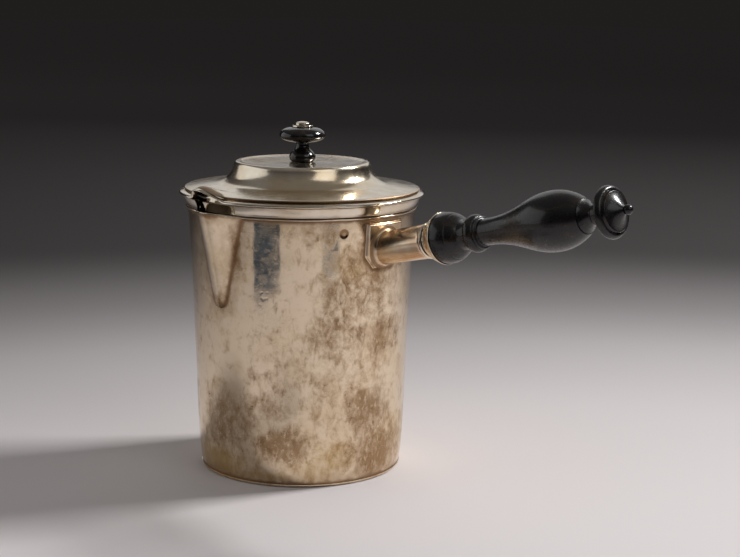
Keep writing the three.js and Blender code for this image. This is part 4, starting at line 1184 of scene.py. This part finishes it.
class MILKJUG_OT_wall(bpy.types.Operator):
    """Raise the wall of the jug, open behind the spout, and close it with its foot"""

    bl_idname = "milkjug.wall"
    bl_label = "Wall and Foot"

    def execute(self, context):
        form = Form(context.scene)
        self.raise_wall(form)
        self.fit_foot(form)
        return {"FINISHED"}

    def raise_wall(self, form):
        jug = form.jug
        cut_round = TIP_ROUND - CUT_INSET
        tip = form.tip_centre - cut_round
        low = [np.linspace(FOOT_TOP, TUCK_TOP, 14), np.linspace(TUCK_TOP, tip, 44)[1:]]
        turns = np.linspace(0, math.pi / 2 - jug.spout_flank, 10)[1:]
        curve = form.tip_centre - cut_round * np.cos(turns)
        heights = np.concatenate(low + [curve, np.linspace(curve[-1], form.wall_top, 34)[1:]])
        gap = np.where(heights > tip + 1e-9, form.v_half_width(heights, -CUT_INSET), 0.0)
        radius = form.wall_radius(heights)
        outer = np.stack([radius, heights], 1)
        inner = np.stack([radius - jug.wall, heights], 1)
        wall = open_band("raised_wall", outer, inner, gap, WALL_COLUMNS)

        def seam(x, y, z):
            inside = np.hypot(x, y) < form.wall_radius(z) - 0.5 * jug.wall
            spout = np.where(y < 0, CREASE_WIDTH - form.v_inside(x, z), 1)
            plate = np.where(x > 0, -form.plate_inside(y, z) - PLATE_ROUND, 1)
            ends = np.minimum(z - FOOT_TOP, form.wall_top - z)
            return np.where(inside, FAR, np.minimum(np.minimum(spout, plate), ends))

        finish_piece(wall, "jug", "body_wall", "Jug Silver", seam)

    def fit_foot(self, form):
        rim = float(form.wall_radius(FOOT_TOP)) + FOOT_PROUD
        corner = FOOT_CORNER
        outline = [(0, 0)] + at(FOOT_UNDERSIDE, 0, rim)
        outline += arc(rim - corner, FOOT_CORNER_AT, corner, corner, -math.pi / 2, 0, 8)
        outline += at(FOOT_TOP_EDGE, FOOT_TOP, rim) + [(0, FOOT_TOP)]
        foot = turned("foot_disc", refined(outline, FOOT_STEP), FOOT_COLUMNS)

        def seam(x, y, z):
            return np.where(z > FOOT_LINE_TOP, FAR, np.abs(np.hypot(x, y) - rim + FOOT_LINE))

        finish_piece(foot, "jug", "base_disc", "Jug Silver", seam)


class MILKJUG_OT_spout(bpy.types.Operator):
    """Fold the spout from sheet and lay its creases on the wall"""

    bl_idname = "milkjug.spout"
    bl_label = "Folded Spout"

    def execute(self, context):
        form = Form(context.scene)
        jug = form.jug
        grow = SPOUT_SOLDER
        turns = np.linspace(0, math.pi / 2 - jug.spout_flank, 20)
        curve = form.tip_centre - (TIP_ROUND + grow) * np.cos(turns)
        top = jug.height - LIP_BELOW
        heights = np.concatenate([curve, np.linspace(curve[-1], top, 56)[1:]])
        share = np.linspace(-1, 1, 81)
        spread = np.sign(share) * (1 - (1 - np.abs(share)) ** CREASE_CROWDING)
        x = form.v_half_width(heights, grow)[:, None] * spread
        z = heights[:, None] + 0 * x
        across = x / np.maximum(form.v_half_width(z), 1e-6)
        section = form.spout_section(np.where(z > jug.spout_tip, across, 1.0))
        z = z + LIP_RISE * np.clip((z - LIP_START) / (top - LIP_START), 0, 1) ** 2 * section
        inside = form.v_inside(x, heights[:, None])
        edge = np.clip(inside / grow + 1, 0, 1)
        offset = (SEAT + CREASE_SUNK) * np.sin(edge * math.pi / 2) ** 0.8 - CREASE_SUNK
        on_wall = np.sqrt((form.wall_radius(z) + offset) ** 2 - x**2)
        reach = form.spout_reach(z) * section
        depth = np.minimum(SPOUT_SHEET, CREASE_WIDTH + 0.25 * np.clip(inside, 0, None))
        front = np.stack([x, -(on_wall + reach), z], -1)
        back = np.stack([x, -(on_wall + reach - depth), z], -1)
        spout = shell("folded_spout", front, back)

        def seam(x, y, z):
            crease = np.clip(form.v_inside(x, z), 0, None)
            return np.minimum(crease, np.clip(jug.height - 0.3 * MM - z, 0, None) + 0.4 * MM)

        finish_piece(spout, "jug", "spout_beak", "Jug Silver", seam)
        return {"FINISHED"}


class MILKJUG_OT_mouth_wire(bpy.types.Operator):
    """Sweep the wire round the mouth and over the lip of the spout"""

    bl_idname = "milkjug.mouth_wire"
    bl_label = "Mouth Wire"

    def execute(self, context):
        form = Form(context.scene)
        jug = form.jug
        inner = float(form.wall_radius(form.wall_top)) - jug.wall
        half = (form.wire_radius - inner) / 2
        values = {
            "Radius": inner + half,
            "Height": jug.height - WIRE_HEIGHT / 2,
            "Half Span": float(form.v_half_width(jug.height)),
            "Reach": jug.spout_reach - 0.2 * MM,
            "Rise": LIP_RISE + 0.25 * MM,
            "Half Width": half,
            "Half Height": WIRE_HEIGHT / 2,
            "Squareness": 1.0,
            "Slope": 0.0,
            "Narrowing": 0.45,
            "Material": finish("Moulding Silver"),
        }
        tree = shared("Lip Wire", partial(rim_wire_tree, hooded=False))
        wire = grown_by_nodes("lip_wire", tree, values)

        def seam(x, y, z):
            return np.clip(np.abs(z - jug.height + WIRE_HEIGHT), 0.3 * MM, None)

        finish_piece(wire, "jug", "mouth_wire", "Moulding Silver", seam)
        return {"FINISHED"}


# The handle


class MILKJUG_OT_socket(bpy.types.Operator):
    """Solder the canted plate and the socket tube to the jug, with the threaded bush inside"""

    bl_idname = "milkjug.socket"
    bl_label = "Plate and Socket"

    def execute(self, context):
        form = Form(context.scene)
        self.lay_plate(form)
        self.fit_tube(form)
        start, end = form.socket_end - BUSH_LENGTH, form.socket_end - 0.6 * MM
        outer = form.socket_bore - 0.02 * MM
        bush = flat_ring("threaded_bush", BUSH_HOLE, outer, start, end, 0.4 * MM, 72, form.onto_handle)
        finish_piece(bush, "jug", "socket_bush", "Old Steel")
        return {"FINISHED"}

    def lay_plate(self, form):
        grow = PLATE_SOLDER
        share = np.linspace(0, 1, 61)
        low = 0.5 * (2 * share) ** PLATE_CROWDING
        high = 1 - 0.5 * (2 - 2 * share) ** PLATE_CROWDING
        spread = np.where(share < 0.5, low, high)
        bottom, top = form.plate_bottom - grow, form.plate_top + grow
        heights = bottom + (top - bottom) * spread
        y = form.plate_half_width(heights, grow)[:, None] * (2 * spread - 1)
        z = heights[:, None] + 0 * y
        inside = form.plate_inside(y, z)
        rise = np.clip(inside / PLATE_ROUND, 0, 1)
        bevel = grow + (form.plate_face - grow) * np.sqrt(1 - (1 - rise) ** 2)
        fillet = (grow + SUNK) * np.clip(1 + inside / grow, 0, 1) ** 2 - SUNK
        front_radius = form.wall_radius(z) + np.where(inside > 0, bevel, fillet)
        back_radius = form.wall_radius(z) - PLATE_BACK
        front = np.stack([np.sqrt(front_radius**2 - y**2), y, z], -1)
        back = np.stack([np.sqrt(back_radius**2 - y**2), y, z], -1)
        plate = shell("socket_plate", front, back)

        def seam(x, y, z):
            cos, sin = math.cos(form.handle.tilt), math.sin(form.handle.tilt)
            from_axis = np.hypot(x * sin - (z - form.handle.height) * cos, y)
            return np.abs(from_axis - form.handle.socket_radius - SOCKET_FILLET)

        finish_piece(plate, "jug", "handle_plate", "Soldered Silver", seam)

    def fit_tube(self, form):
        angles = full_circle(96)
        radius = form.handle.socket_radius
        rows = []
        for turn in np.linspace(0, math.pi / 2, 12):
            reach = radius + SOCKET_FILLET * (1 - math.sin(turn))
            along = form.to_wall(reach, angles) + SOCKET_FILLET * (1 - math.cos(turn)) - SOCKET_SUNK
            rows.append((reach, along))
        first = rows[-1][1]
        for k in np.linspace(0, 1, 22)[1:]:
            rows.append((radius + SOCKET_SWELL * k, first + (form.socket_end - SOCKET_SWELL - first) * k))
        rows += at(TUBE_LIP, form.socket_end, radius + SOCKET_SWELL)
        rows += at(TUBE_MOUTH, form.socket_end, form.socket_bore)
        rows.append((form.socket_bore, form.to_wall(form.socket_bore, angles)))
        grid = np.array([around_axis(r, angles, s) for r, s in rows])
        tube = to_object("socket_tube", form.onto_handle(grid), grid_faces(len(rows), 96, True, True))

        def seam(x, y, z):
            return np.clip(np.hypot(x, y) - (form.wall_radius(z) + form.plate_face), 0, None)

        finish_piece(tube, "jug", "handle_socket", "Soldered Silver", seam)


class MILKJUG_OT_joint(bpy.types.Operator):
    """Turn the ring, the silver collar and the threaded stud that join the handle to its socket"""

    bl_idname = "milkjug.joint"
    bl_label = "Ring, Collar and Stud"

    def execute(self, context):
        form = Form(context.scene)
        start, half = form.ring_start, RING_THICKNESS / 2
        edge = arc(RING_RADIUS - half, start + half, half, half, -math.pi / 2, math.pi / 2, 12)
        section = [(STUD_HOLE, start)] + edge + [(STUD_HOLE, start + RING_THICKNESS)]
        ring = turned("joint_ring", section, 96, True, form.onto_handle)
        finish_piece(ring, "handle_ring", "socket_washer", "Moulding Silver")

        start, edge = form.collar_start, at(COLLAR_EDGE, form.collar_rim)
        outline = at(COLLAR_BACK, start) + bend(*at(COLLAR_FLARE, start), edge[0], 14)
        outline += edge[1:] + at(COLLAR_INSIDE, start + COLLAR_FLOOR)
        outline = softened(outline, COLLAR_SOFTNESS)
        collar = turned("silver_collar", outline, TURNED_COLUMNS, True, form.onto_handle)
        finish_piece(collar, "handle", "handle_ferrule", "Moulding Silver")

        grid = self.thread(form.socket_end - STUD_IN_SOCKET, form.grip_back + STUD_IN_GRIP)
        faces = grid_faces(len(grid), STUD_SIDES, False, True)
        stud = to_object("threaded_stud", form.onto_handle(grid), faces)
        finish_piece(stud, "handle", "handle_stud", "Old Steel")
        return {"FINISHED"}

    def thread(self, start, end):
        """Points of a screw thread between two places on the axis, closed at both."""
        angles = full_circle(STUD_SIDES)
        along = np.linspace(start, end, int((end - start) / STUD_PITCH * 10))[:, None]
        phase = (along / STUD_PITCH - angles / TURN) % 1
        narrowed = THREAD_LEAD * (1 - np.clip((along - start) / THREAD_LEAD_LENGTH, 0, 1))
        radius = STUD_RADIUS - THREAD_DEPTH * np.abs(2 * phase - 1) - narrowed
        caps = [np.zeros((1, STUD_SIDES, 3)) + (0, 0, s) for s in (start, end)]
        return np.concatenate([caps[0], around_axis(radius, angles, along), caps[1]])


def grip_outline(form):
    """The grip from its bore, round its ball, neck, bead, flange, waist, belly and cove."""
    handle = form.handle
    ball = handle.ball_radius
    start = -math.asin((BALL_AHEAD + BALL_INSIDE) / ball)
    globe = arc(0, form.ball_centre, ball, ball, start, math.acos(BALL_NECK / ball), 44)
    globe = refined(globe, 0.2 * MM)
    line_at = form.ball_centre + LINE_AHEAD
    cuts = [LINE_DEPTH * math.exp(-(((s - line_at) / LINE_WIDTH) ** 2)) for _, s in globe]
    globe = [(r - cut, s) for (r, s), cut in zip(globe, cuts)]
    neck = bend(*at(GRIP_NECK, form.neck_start), (6.15 * MM, form.bead_start), 8)
    bead = []
    for k in 0.5 - 0.5 * np.cos(np.linspace(0, math.pi, 28)):
        swell = BEAD_RISE * math.sqrt(max(0, math.sin(math.pi * k)))
        bead.append((BEAD_FOOT + swell, form.bead_start + BEAD_LENGTH * k))
    half = FLANGE_LENGTH / 2
    middle = form.flange_start + half
    flange = arc(FLANGE_FOOT, middle, FLANGE_RISE, half * 0.85, -math.pi / 2, math.pi / 2, 12)
    waist = bend(*at(GRIP_WAIST, form.waist_start), 6)[:-1]
    belly = []
    for k in np.linspace(0, 1, 44):
        rise = (1 - math.cos(math.pi * k**1.25)) / 2
        radius = WAIST_RADIUS + (handle.belly_radius - WAIST_RADIUS) * rise
        belly.append((radius, form.waist_start + SWELL_LENGTH * k))
    for k in np.linspace(0, 1, 22)[1:]:
        fall = (handle.belly_radius - SHOULDER_RADIUS) * k**2.2
        belly.append((handle.belly_radius - fall, form.belly_at + TAPER_LENGTH * k))
    cove = at(GRIP_GROOVE, form.shoulder_at, SHOULDER_RADIUS)
    cove_start = form.shoulder_at + COVE_START
    for k in np.linspace(0, 1, 14):
        cove.append((COVE_END_RADIUS + COVE_DEPTH * (1 - k) ** 2, cove_start + (GRIP_COVE - COVE_START) * k))
    bore = form.grip_back + STUD_IN_GRIP + SEAT
    back = [(0, bore), (STUD_HOLE, bore)] + at(GRIP_BACK, form.grip_back)
    back.append((10.15 * MM, form.collar_rim - BALL_INSIDE))
    hole, end = TENON_RADIUS + SEAT, form.grip_end
    inner_end = end - TENON_LENGTH - SEAT
    tail = [(4.1 * MM, end), (hole, end), (hole, inner_end), (0, inner_end)]
    return back + globe + neck + bead + flange + waist + belly + cove + tail


def end_outline(form):
    """The end piece from its tenon, over its disc and cone to the small tip."""
    start, rim = form.end_start, form.handle.end_radius
    tenon_end = form.grip_end - TENON_LENGTH
    tenon = [(0, tenon_end), (TENON_RADIUS, tenon_end), (TENON_RADIUS, start)]
    neck, rim_start = END_NECK_RADIUS, start + END_BACK_LENGTH
    bowl = arc(neck, rim_start, rim - neck, END_BOWL, -math.pi / 2, 0, 18)
    corner = softened([(neck, start + 1 * MM)] + bowl[:2], 0.5 * MM, closed=False)[1:-1]
    edge = arc(rim - END_ROUND, rim_start, END_ROUND, END_RIM, 0, math.pi / 2, 14)[1:]
    step = rim_start + END_RIM
    cone = bend(*at(END_CONE, step + END_STEP), 16)
    ledge = softened([edge[-1]] + at(END_LEDGE, step) + [cone[0]], 0.2 * MM, closed=False)[1:-1]
    cone_tip, cone_end = cone[-1]
    ball = END_BALL
    centre = cone_end + math.sqrt(ball**2 - cone_tip**2)
    tip = arc(0, centre, ball, ball, -math.acos(cone_tip / ball), math.pi / 2, 16)
    return tenon + at(END_NECK, start) + corner + bowl[1:] + edge + ledge + cone + tip


class MILKJUG_OT_grip(bpy.types.Operator):
    """Turn the ebony grip with its ball, bead and belly, and the disc with a cone at its end"""

    bl_idname = "milkjug.grip"
    bl_label = "Ebony Grip"

    def execute(self, context):
        form = Form(context.scene)
        grip = turned("ebony_grip", grip_outline(form), TURNED_COLUMNS, False, form.onto_handle)
        finish_piece(grip, "handle", "handle_grip", "Waxed Ebony")
        end_piece = turned("grip_end", end_outline(form), TURNED_COLUMNS, False, form.onto_handle)
        finish_piece(end_piece, "handle", "handle_end", "Waxed Ebony")
        return {"FINISHED"}


# The lid


class MILKJUG_OT_lid(bpy.types.Operator):
    """Raise the domed top with its hood, and make the moulded band and the bezel under it"""

    bl_idname = "milkjug.lid"
    bl_label = "Lid"

    def execute(self, context):
        form = Form(context.scene)
        self.raise_dome(form)
        self.fit_band(form)
        self.fit_bezel(form)
        return {"FINISHED"}

    def raise_dome(self, form):
        edge = (form.brim_radius, form.brim_bottom + CROWN_SHEET)
        foot = (DOME_FOOT_RADIUS, form.dome_foot)
        brim = at(BRIM_EDGE, edge[1], edge[0])
        brim += [between(edge, foot, k) for k in np.linspace(0.03, 0.86, 26)]
        into = bend(brim[-1], *at(DOME_INTO, form.dome_foot), 14)[1:]
        up = bend(into[-1], *at(DOME_UP, form.dome_foot), 10)[1:]
        roll = bend(up[-1], *at(DOME_ROLL, form.dome_top), 10)[1:]
        flat = at(DOME_RIM, form.dome_top) + at(DOME_FLAT, form.crown_top)
        line = sheet_outline(refined(brim + into + up + roll + flat, CROWN_STEP), CROWN_SHEET)
        half = form.lid.hood_angle
        angles = [np.linspace(-half, half, 61), np.linspace(half, TURN - half, 200)[1:-1]]
        angles = np.concatenate(angles)
        crown = turned("lid_top", line, closed=True, place=form.raise_crown, angles=angles)

        def seam(x, y, z):
            radius = np.hypot(x, y)
            rim = np.clip(form.brim_radius - radius, 0, None)
            top = np.where(z > form.crown_top - 0.2 * MM, np.abs(radius - DOME_RIM_LINE), FAR)
            return np.minimum(np.minimum(rim, top + 0.25 * MM), np.clip(radius - KNOB_SEAT, 0, None))

        finish_piece(crown, "lid", "lid_crown", "Lid Silver", seam)

    def fit_band(self, form):
        foot, bottom = form.wire_radius + SKIRT_PROUD, form.skirt_bottom
        outer = at(SKIRT_FOOT, bottom, foot)
        for k in np.linspace(0, 1, 20):
            flare = SKIRT_FLARE * (1 - math.cos(math.pi / 2 * k))
            outer.append((foot + flare, bottom + SKIRT_BEAD + (SKIRT_HEIGHT - SKIRT_BEAD) * k))
        inner = [(foot - SKIRT_THICKNESS, z) for _, z in outer]
        gap = np.full(len(outer), foot * math.sin(NOTCH_HALF_ANGLE))
        place = partial(form.turn_lid, further=NOTCH_TURN)
        band = open_band("cove_band", np.array(outer), np.array(inner), gap, WALL_COLUMNS, place)

        def seam(x, y, z):
            return np.minimum(z - bottom, bottom + SKIRT_HEIGHT - z)

        finish_piece(band, "lid", "lid_skirt", "Moulding Silver", seam)

    def fit_bezel(self, form):
        bottom = form.jug.height - BEZEL_DEPTH
        outer_radius = float(form.wall_radius(bottom)) - form.jug.wall - BEZEL_PLAY
        run = (form.brim_radius - outer_radius) / (form.brim_radius - DOME_FOOT_RADIUS)
        top = form.brim_bottom + BRIM_RISE * run - 0.1 * MM
        notch_top = form.jug.height + BEZEL_NOTCH_TOP
        notch = outer_radius * math.sin(BEZEL_NOTCH_TURN)
        corner = BEZEL_NOTCH_ROUND
        turns = np.linspace(0, math.pi / 2, 9)[1:]
        heights = [np.linspace(bottom, notch_top - corner, 16), notch_top - corner + corner * np.sin(turns)]
        heights += [[notch_top + 0.02 * MM], np.linspace(notch_top + 0.5 * MM, top, 6)]
        heights = np.concatenate(heights)
        gap = np.concatenate([np.full(16, notch), notch - corner + corner * np.cos(turns), np.zeros(7)])
        eased = BEZEL_EASE * np.clip(1 - (heights - bottom) / (2 * BEZEL_EASE), 0, 1) ** 2
        outer = np.stack([outer_radius - eased, heights], 1)
        inner = np.stack([outer_radius - BEZEL_THICKNESS + eased, heights], 1)
        bezel = open_band("lid_bezel_ring", outer, inner, gap, BEZEL_COLUMNS, form.turn_lid)

        def seam(x, y, z):
            return np.clip(top - z, 0, None)

        finish_piece(bezel, "lid", "lid_bezel", "Moulding Silver", seam)


class MILKJUG_OT_border(bpy.types.Operator):
    """Sweep the half round border round the brim and up over the hood"""

    bl_idname = "milkjug.border"
    bl_label = "Hooded Border"

    def execute(self, context):
        form = Form(context.scene)
        lid = form.lid
        values = {
            "Radius": form.border_centre,
            "Height": form.border_bottom + lid.border_height / 2,
            "Half Span": lid.hood_angle,
            "Reach": lid.hood_reach + ROLL_OUT,
            "Rise": lid.hood_rise + ROLL_UP,
            "Half Width": BORDER_HALF_WIDTH,
            "Half Height": lid.border_height / 2,
            "Squareness": 0.5,
            "Slope": 0.28,
            "Narrowing": 0.55,
            "Material": finish("Moulding Silver"),
        }
        tree = shared("Hooded Border", partial(rim_wire_tree, hooded=True))
        border = grown_by_nodes("hooded_border", tree, values)
        border.data.transform(Matrix.Rotation(lid.turn, 4, "Z"))

        def seam(x, y, z):
            from_brim = np.clip(np.hypot(x, y) - form.brim_radius, 0, None)
            return from_brim + np.where(z > form.border_bottom + lid.border_height * 0.6, 0, FAR)

        finish_piece(border, "lid", "lid_border", "Moulding Silver", seam)
        return {"FINISHED"}


class MILKJUG_OT_knob(bpy.types.Operator):
    """Turn the polished knob, and set its washer, screw, backing plate and square nut"""

    bl_idname = "milkjug.knob"
    bl_label = "Knob"

    def execute(self, context):
        form = Form(context.scene)
        knob = turned("knob", self.knob_outline(form), TURNED_COLUMNS, True)
        finish_piece(knob, "lid", "finial_knob", "Polished Ebony")

        bottom = form.knob_bottom + CAP_BOTTOM + CAP_HEIGHT + SEAT
        low, high = bottom - WASHER_SUNK, bottom + WASHER_THICKNESS
        washer = flat_ring("knob_washer", KNOB_HOLE, WASHER_RADIUS, low, high, 0.25 * MM)
        finish_piece(washer, "lid", "finial_washer", "Moulding Silver")

        button = bottom + WASHER_THICKNESS + SEAT
        nut_top = form.crown_top - NUT_BELOW
        screw = turned("knob_screw", self.screw_outline(nut_top - SCREW_BELOW, button), 72)
        finish_piece(screw, "lid", "finial_screw", "Moulding Silver")

        high = form.crown_top - CROWN_SHEET - SEAT
        low = high - BACKPLATE_THICKNESS
        plate = flat_ring("backing_plate", KNOB_HOLE, BACKPLATE_RADIUS, low, high, 0.3 * MM, 96)
        finish_piece(plate, "lid", "lid_backplate", "Moulding Silver")

        finish_piece(self.square_nut(nut_top), "lid", "finial_nut", "Old Steel")
        return {"FINISHED"}

    def knob_outline(self, form):
        base, cap = form.knob_bottom, form.lid.knob_radius
        bottom = base + CAP_BOTTOM
        edge, top = bottom + CAP_HEIGHT * CAP_EDGE, bottom + CAP_HEIGHT
        foot = bend(*at(KNOB_FOOT, base), 22)
        neck = bend(*at(KNOB_NECK, base), 10)[1:]
        inner = neck[-1][0]
        under = arc(inner, edge, cap - inner, edge - bottom, -math.pi / 2, 0, 22)[1:]
        over = arc(CAP_FLAT, edge, cap - CAP_FLAT, top - edge, 0, math.pi / 2, 22)[1:]
        return [(KNOB_HOLE, base)] + foot + neck + under + over + [(KNOB_HOLE, top)]

    def screw_outline(self, end, button):
        """The screw from its threaded end up to its round head, which sits at the button's height."""
        thread = []
        for s in np.linspace(end, button - 6 * MM, 200):
            cut = SCREW_CUT * abs(2 * ((s / SCREW_PITCH) % 1) - 1)
            thread.append((SCREW_RADIUS - cut, s))
        head = arc(0, button + HEAD_EDGE, HEAD_RADIUS, HEAD_RISE, 0, math.pi / 2, 16)
        return at(SCREW_TIP, end) + thread + at(SCREW_HEAD, button) + head

    def square_nut(self, top):
        """A square nut with softened corners and chamfered edges."""
        angles = full_circle(96)
        side = NUT_ACROSS / 2
        widest = np.maximum(np.abs(np.sin(angles)), np.abs(np.cos(angles)))
        square = np.minimum(side / widest, side * NUT_CORNER)
        bottom = top - NUT_HEIGHT
        rows = at(NUT_LOW, bottom, square) + at(NUT_HIGH, top, square)
        rows += [(KNOB_HOLE, top - 0.01 * MM), (KNOB_HOLE, bottom + 0.01 * MM)]
        grid = np.array([around_axis(r, angles, s) for r, s in rows])
        return to_object("square_nut", grid, grid_faces(len(rows), len(angles), True, True))


# Floor, lamps and camera


class MILKJUG_OT_stage(bpy.types.Operator):
    """Lay the floor with its painted pool of light, hang the soft lamps and place the camera"""

    bl_idname = "milkjug.stage"
    bl_label = "Floor, Lamps and Camera"

    def execute(self, context):
        scene = context.scene
        values = scene.milk_jug_stage
        self.floor(values)
        self.cards(values)
        self.surroundings(scene, values)
        self.lamps(values)
        self.camera(scene, values)
        scene.view_settings.view_transform = "Standard"
        return {"FINISHED"}

    def floor(self, values):
        corners = [(x * FLOOR_HALF, y * FLOOR_HALF, 0) for x in (-1, 1) for y in (-1, 1)]
        floor = to_object("floor", corners, [(0, 2, 3, 1)])
        material, b, shader, place = new_material("Pale Floor")
        # painted light: the pale floor's colour fades in steps to the dark far tone with distance from the
        # pool's middle, standing in for the lamps' falloff
        far = b.vector("LENGTH", [b.vector("SUBTRACT", (place, PAINTED_POOL_MIDDLE), 0)], "Value")
        colour = rgba(values.floor_colour)
        for begin, reach, share in PAINTED_POOL_EDGES:
            tones = zip(values.floor_colour, values.painted_far_shade)
            faded = [pale * share + dark * (1 - share) for pale, dark in tones]
            colour = b.blend(b.ramp(far, begin, reach), colour, rgba(faded))
        b.put(shader.inputs["Base Color"], colour)
        shader.inputs["Roughness"].default_value = FLOOR_ROUGHNESS
        shader.inputs["Specular IOR Level"].default_value = FLOOR_SPECULAR
        floor.data.materials.append(material)

    def cards(self, values):
        material, _, shader, _ = new_material("Blue Card")
        shader.inputs["Base Color"].default_value = rgba(values.card_colour)
        shader.inputs["Roughness"].default_value = CARD_ROUGHNESS
        for name, corners in CARDS:
            card = to_object(name, [(x, y, CARD_HEIGHT) for x, y in corners], [(0, 1, 2, 3)])
            card.data.materials.append(material)
            card.visible_camera = False
            card.visible_diffuse = False
            card.visible_shadow = False

    def surroundings(self, scene, values):
        world = bpy.data.worlds.new("Soft Room")
        world.use_nodes = True
        world.node_tree.nodes.clear()
        b = Builder(world.node_tree)
        up = b.split(b.add("ShaderNodeTexCoord").outputs["Generated"])[2]
        colour = b.blend(b.ramp(up, *ROOM_FADE), rgba(values.dark_colour), rgba(values.room_colour))
        back = b.add("ShaderNodeBackground", {"Color": colour, "Strength": 1.0})
        b.add("ShaderNodeOutputWorld", {"Surface": back.outputs[0]})
        scene.world = world

    def lamps(self, values):
        for name, power, size, place, target in LAMPS:
            data = bpy.data.lights.new(name, "AREA")
            data.shape = "RECTANGLE"
            data.size, data.size_y = size
            data.energy = getattr(values, power)
            lamp = linked(name, data)
            lamp.visible_camera = False
            lamp.location = place
            toward = Vector(target) - Vector(place)
            lamp.rotation_euler = toward.to_track_quat("-Z", "Y").to_euler()

    def camera(self, scene, values):
        yaw, pitch, roll = CAMERA_YAW, CAMERA_PITCH, CAMERA_ROLL
        level = math.cos(pitch)
        ahead = Vector((math.sin(yaw) * level, math.cos(yaw) * level, -math.sin(pitch)))
        side = Vector((math.cos(yaw), -math.sin(yaw), 0))
        above = side.cross(ahead)
        right = side * math.cos(roll) + above * math.sin(roll)
        top = above * math.cos(roll) - side * math.sin(roll)
        axes = Matrix((right, top, -ahead)).transposed().to_4x4()
        data = bpy.data.cameras.new("camera")
        data.sensor_width = FRAME_WIDTH
        data.lens = values.camera_lens
        camera = linked("camera", data)
        camera.matrix_world = Matrix.Translation(CAMERA_PLACE) @ Matrix.Rotation(CAMERA_TURN, 4, "Z") @ axes
        scene.camera = camera


# The panel and the run


class MILKJUG_PT_panel(bpy.types.Panel):
    """Buttons and sizes of the milk jug"""

    bl_idname = "MILKJUG_PT_panel"
    bl_label = "Milk Jug"
    bl_space_type = "VIEW_3D"
    bl_region_type = "UI"
    bl_category = "Milk Jug"

    def draw(self, context):
        layout = self.layout
        for group in GROUPS:
            box = layout.box()
            box.label(text=group[2])
            values = getattr(context.scene, group[0])
            for key in group[1].__annotations__:
                box.prop(values, key)
        for operator in STEPS:
            layout.operator(operator.bl_idname)


GROUPS = (
    ("milk_jug_body", JugSizes, "Jug"),
    ("milk_jug_handle", HandleSizes, "Handle"),
    ("milk_jug_lid", LidSizes, "Lid"),
    ("milk_jug_finish", FinishColours, "Finishes"),
    ("milk_jug_stage", StageValues, "Stage"),
)
STEPS = (
    MILKJUG_OT_wall,
    MILKJUG_OT_spout,
    MILKJUG_OT_mouth_wire,
    MILKJUG_OT_socket,
    MILKJUG_OT_joint,
    MILKJUG_OT_grip,
    MILKJUG_OT_lid,
    MILKJUG_OT_border,
    MILKJUG_OT_knob,
    MILKJUG_OT_stage,
)


def register():
    for _, group, _ in GROUPS:
        bpy.utils.register_class(group)
    for operator in STEPS:
        bpy.utils.register_class(operator)
    bpy.utils.register_class(MILKJUG_PT_panel)
    for name, group, _ in GROUPS:
        setattr(bpy.types.Scene, name, PointerProperty(type=group))


def unregister():
    for name, _, _ in GROUPS:
        delattr(bpy.types.Scene, name)
    bpy.utils.unregister_class(MILKJUG_PT_panel)
    for operator in reversed(STEPS):
        bpy.utils.unregister_class(operator)
    for _, group, _ in reversed(GROUPS):
        bpy.utils.unregister_class(group)


def main():
    register()
    for operator in STEPS:
        family, step = operator.bl_idname.split(".")
        getattr(getattr(bpy.ops, family), step)()


if __name__ == "__main__":
    main()
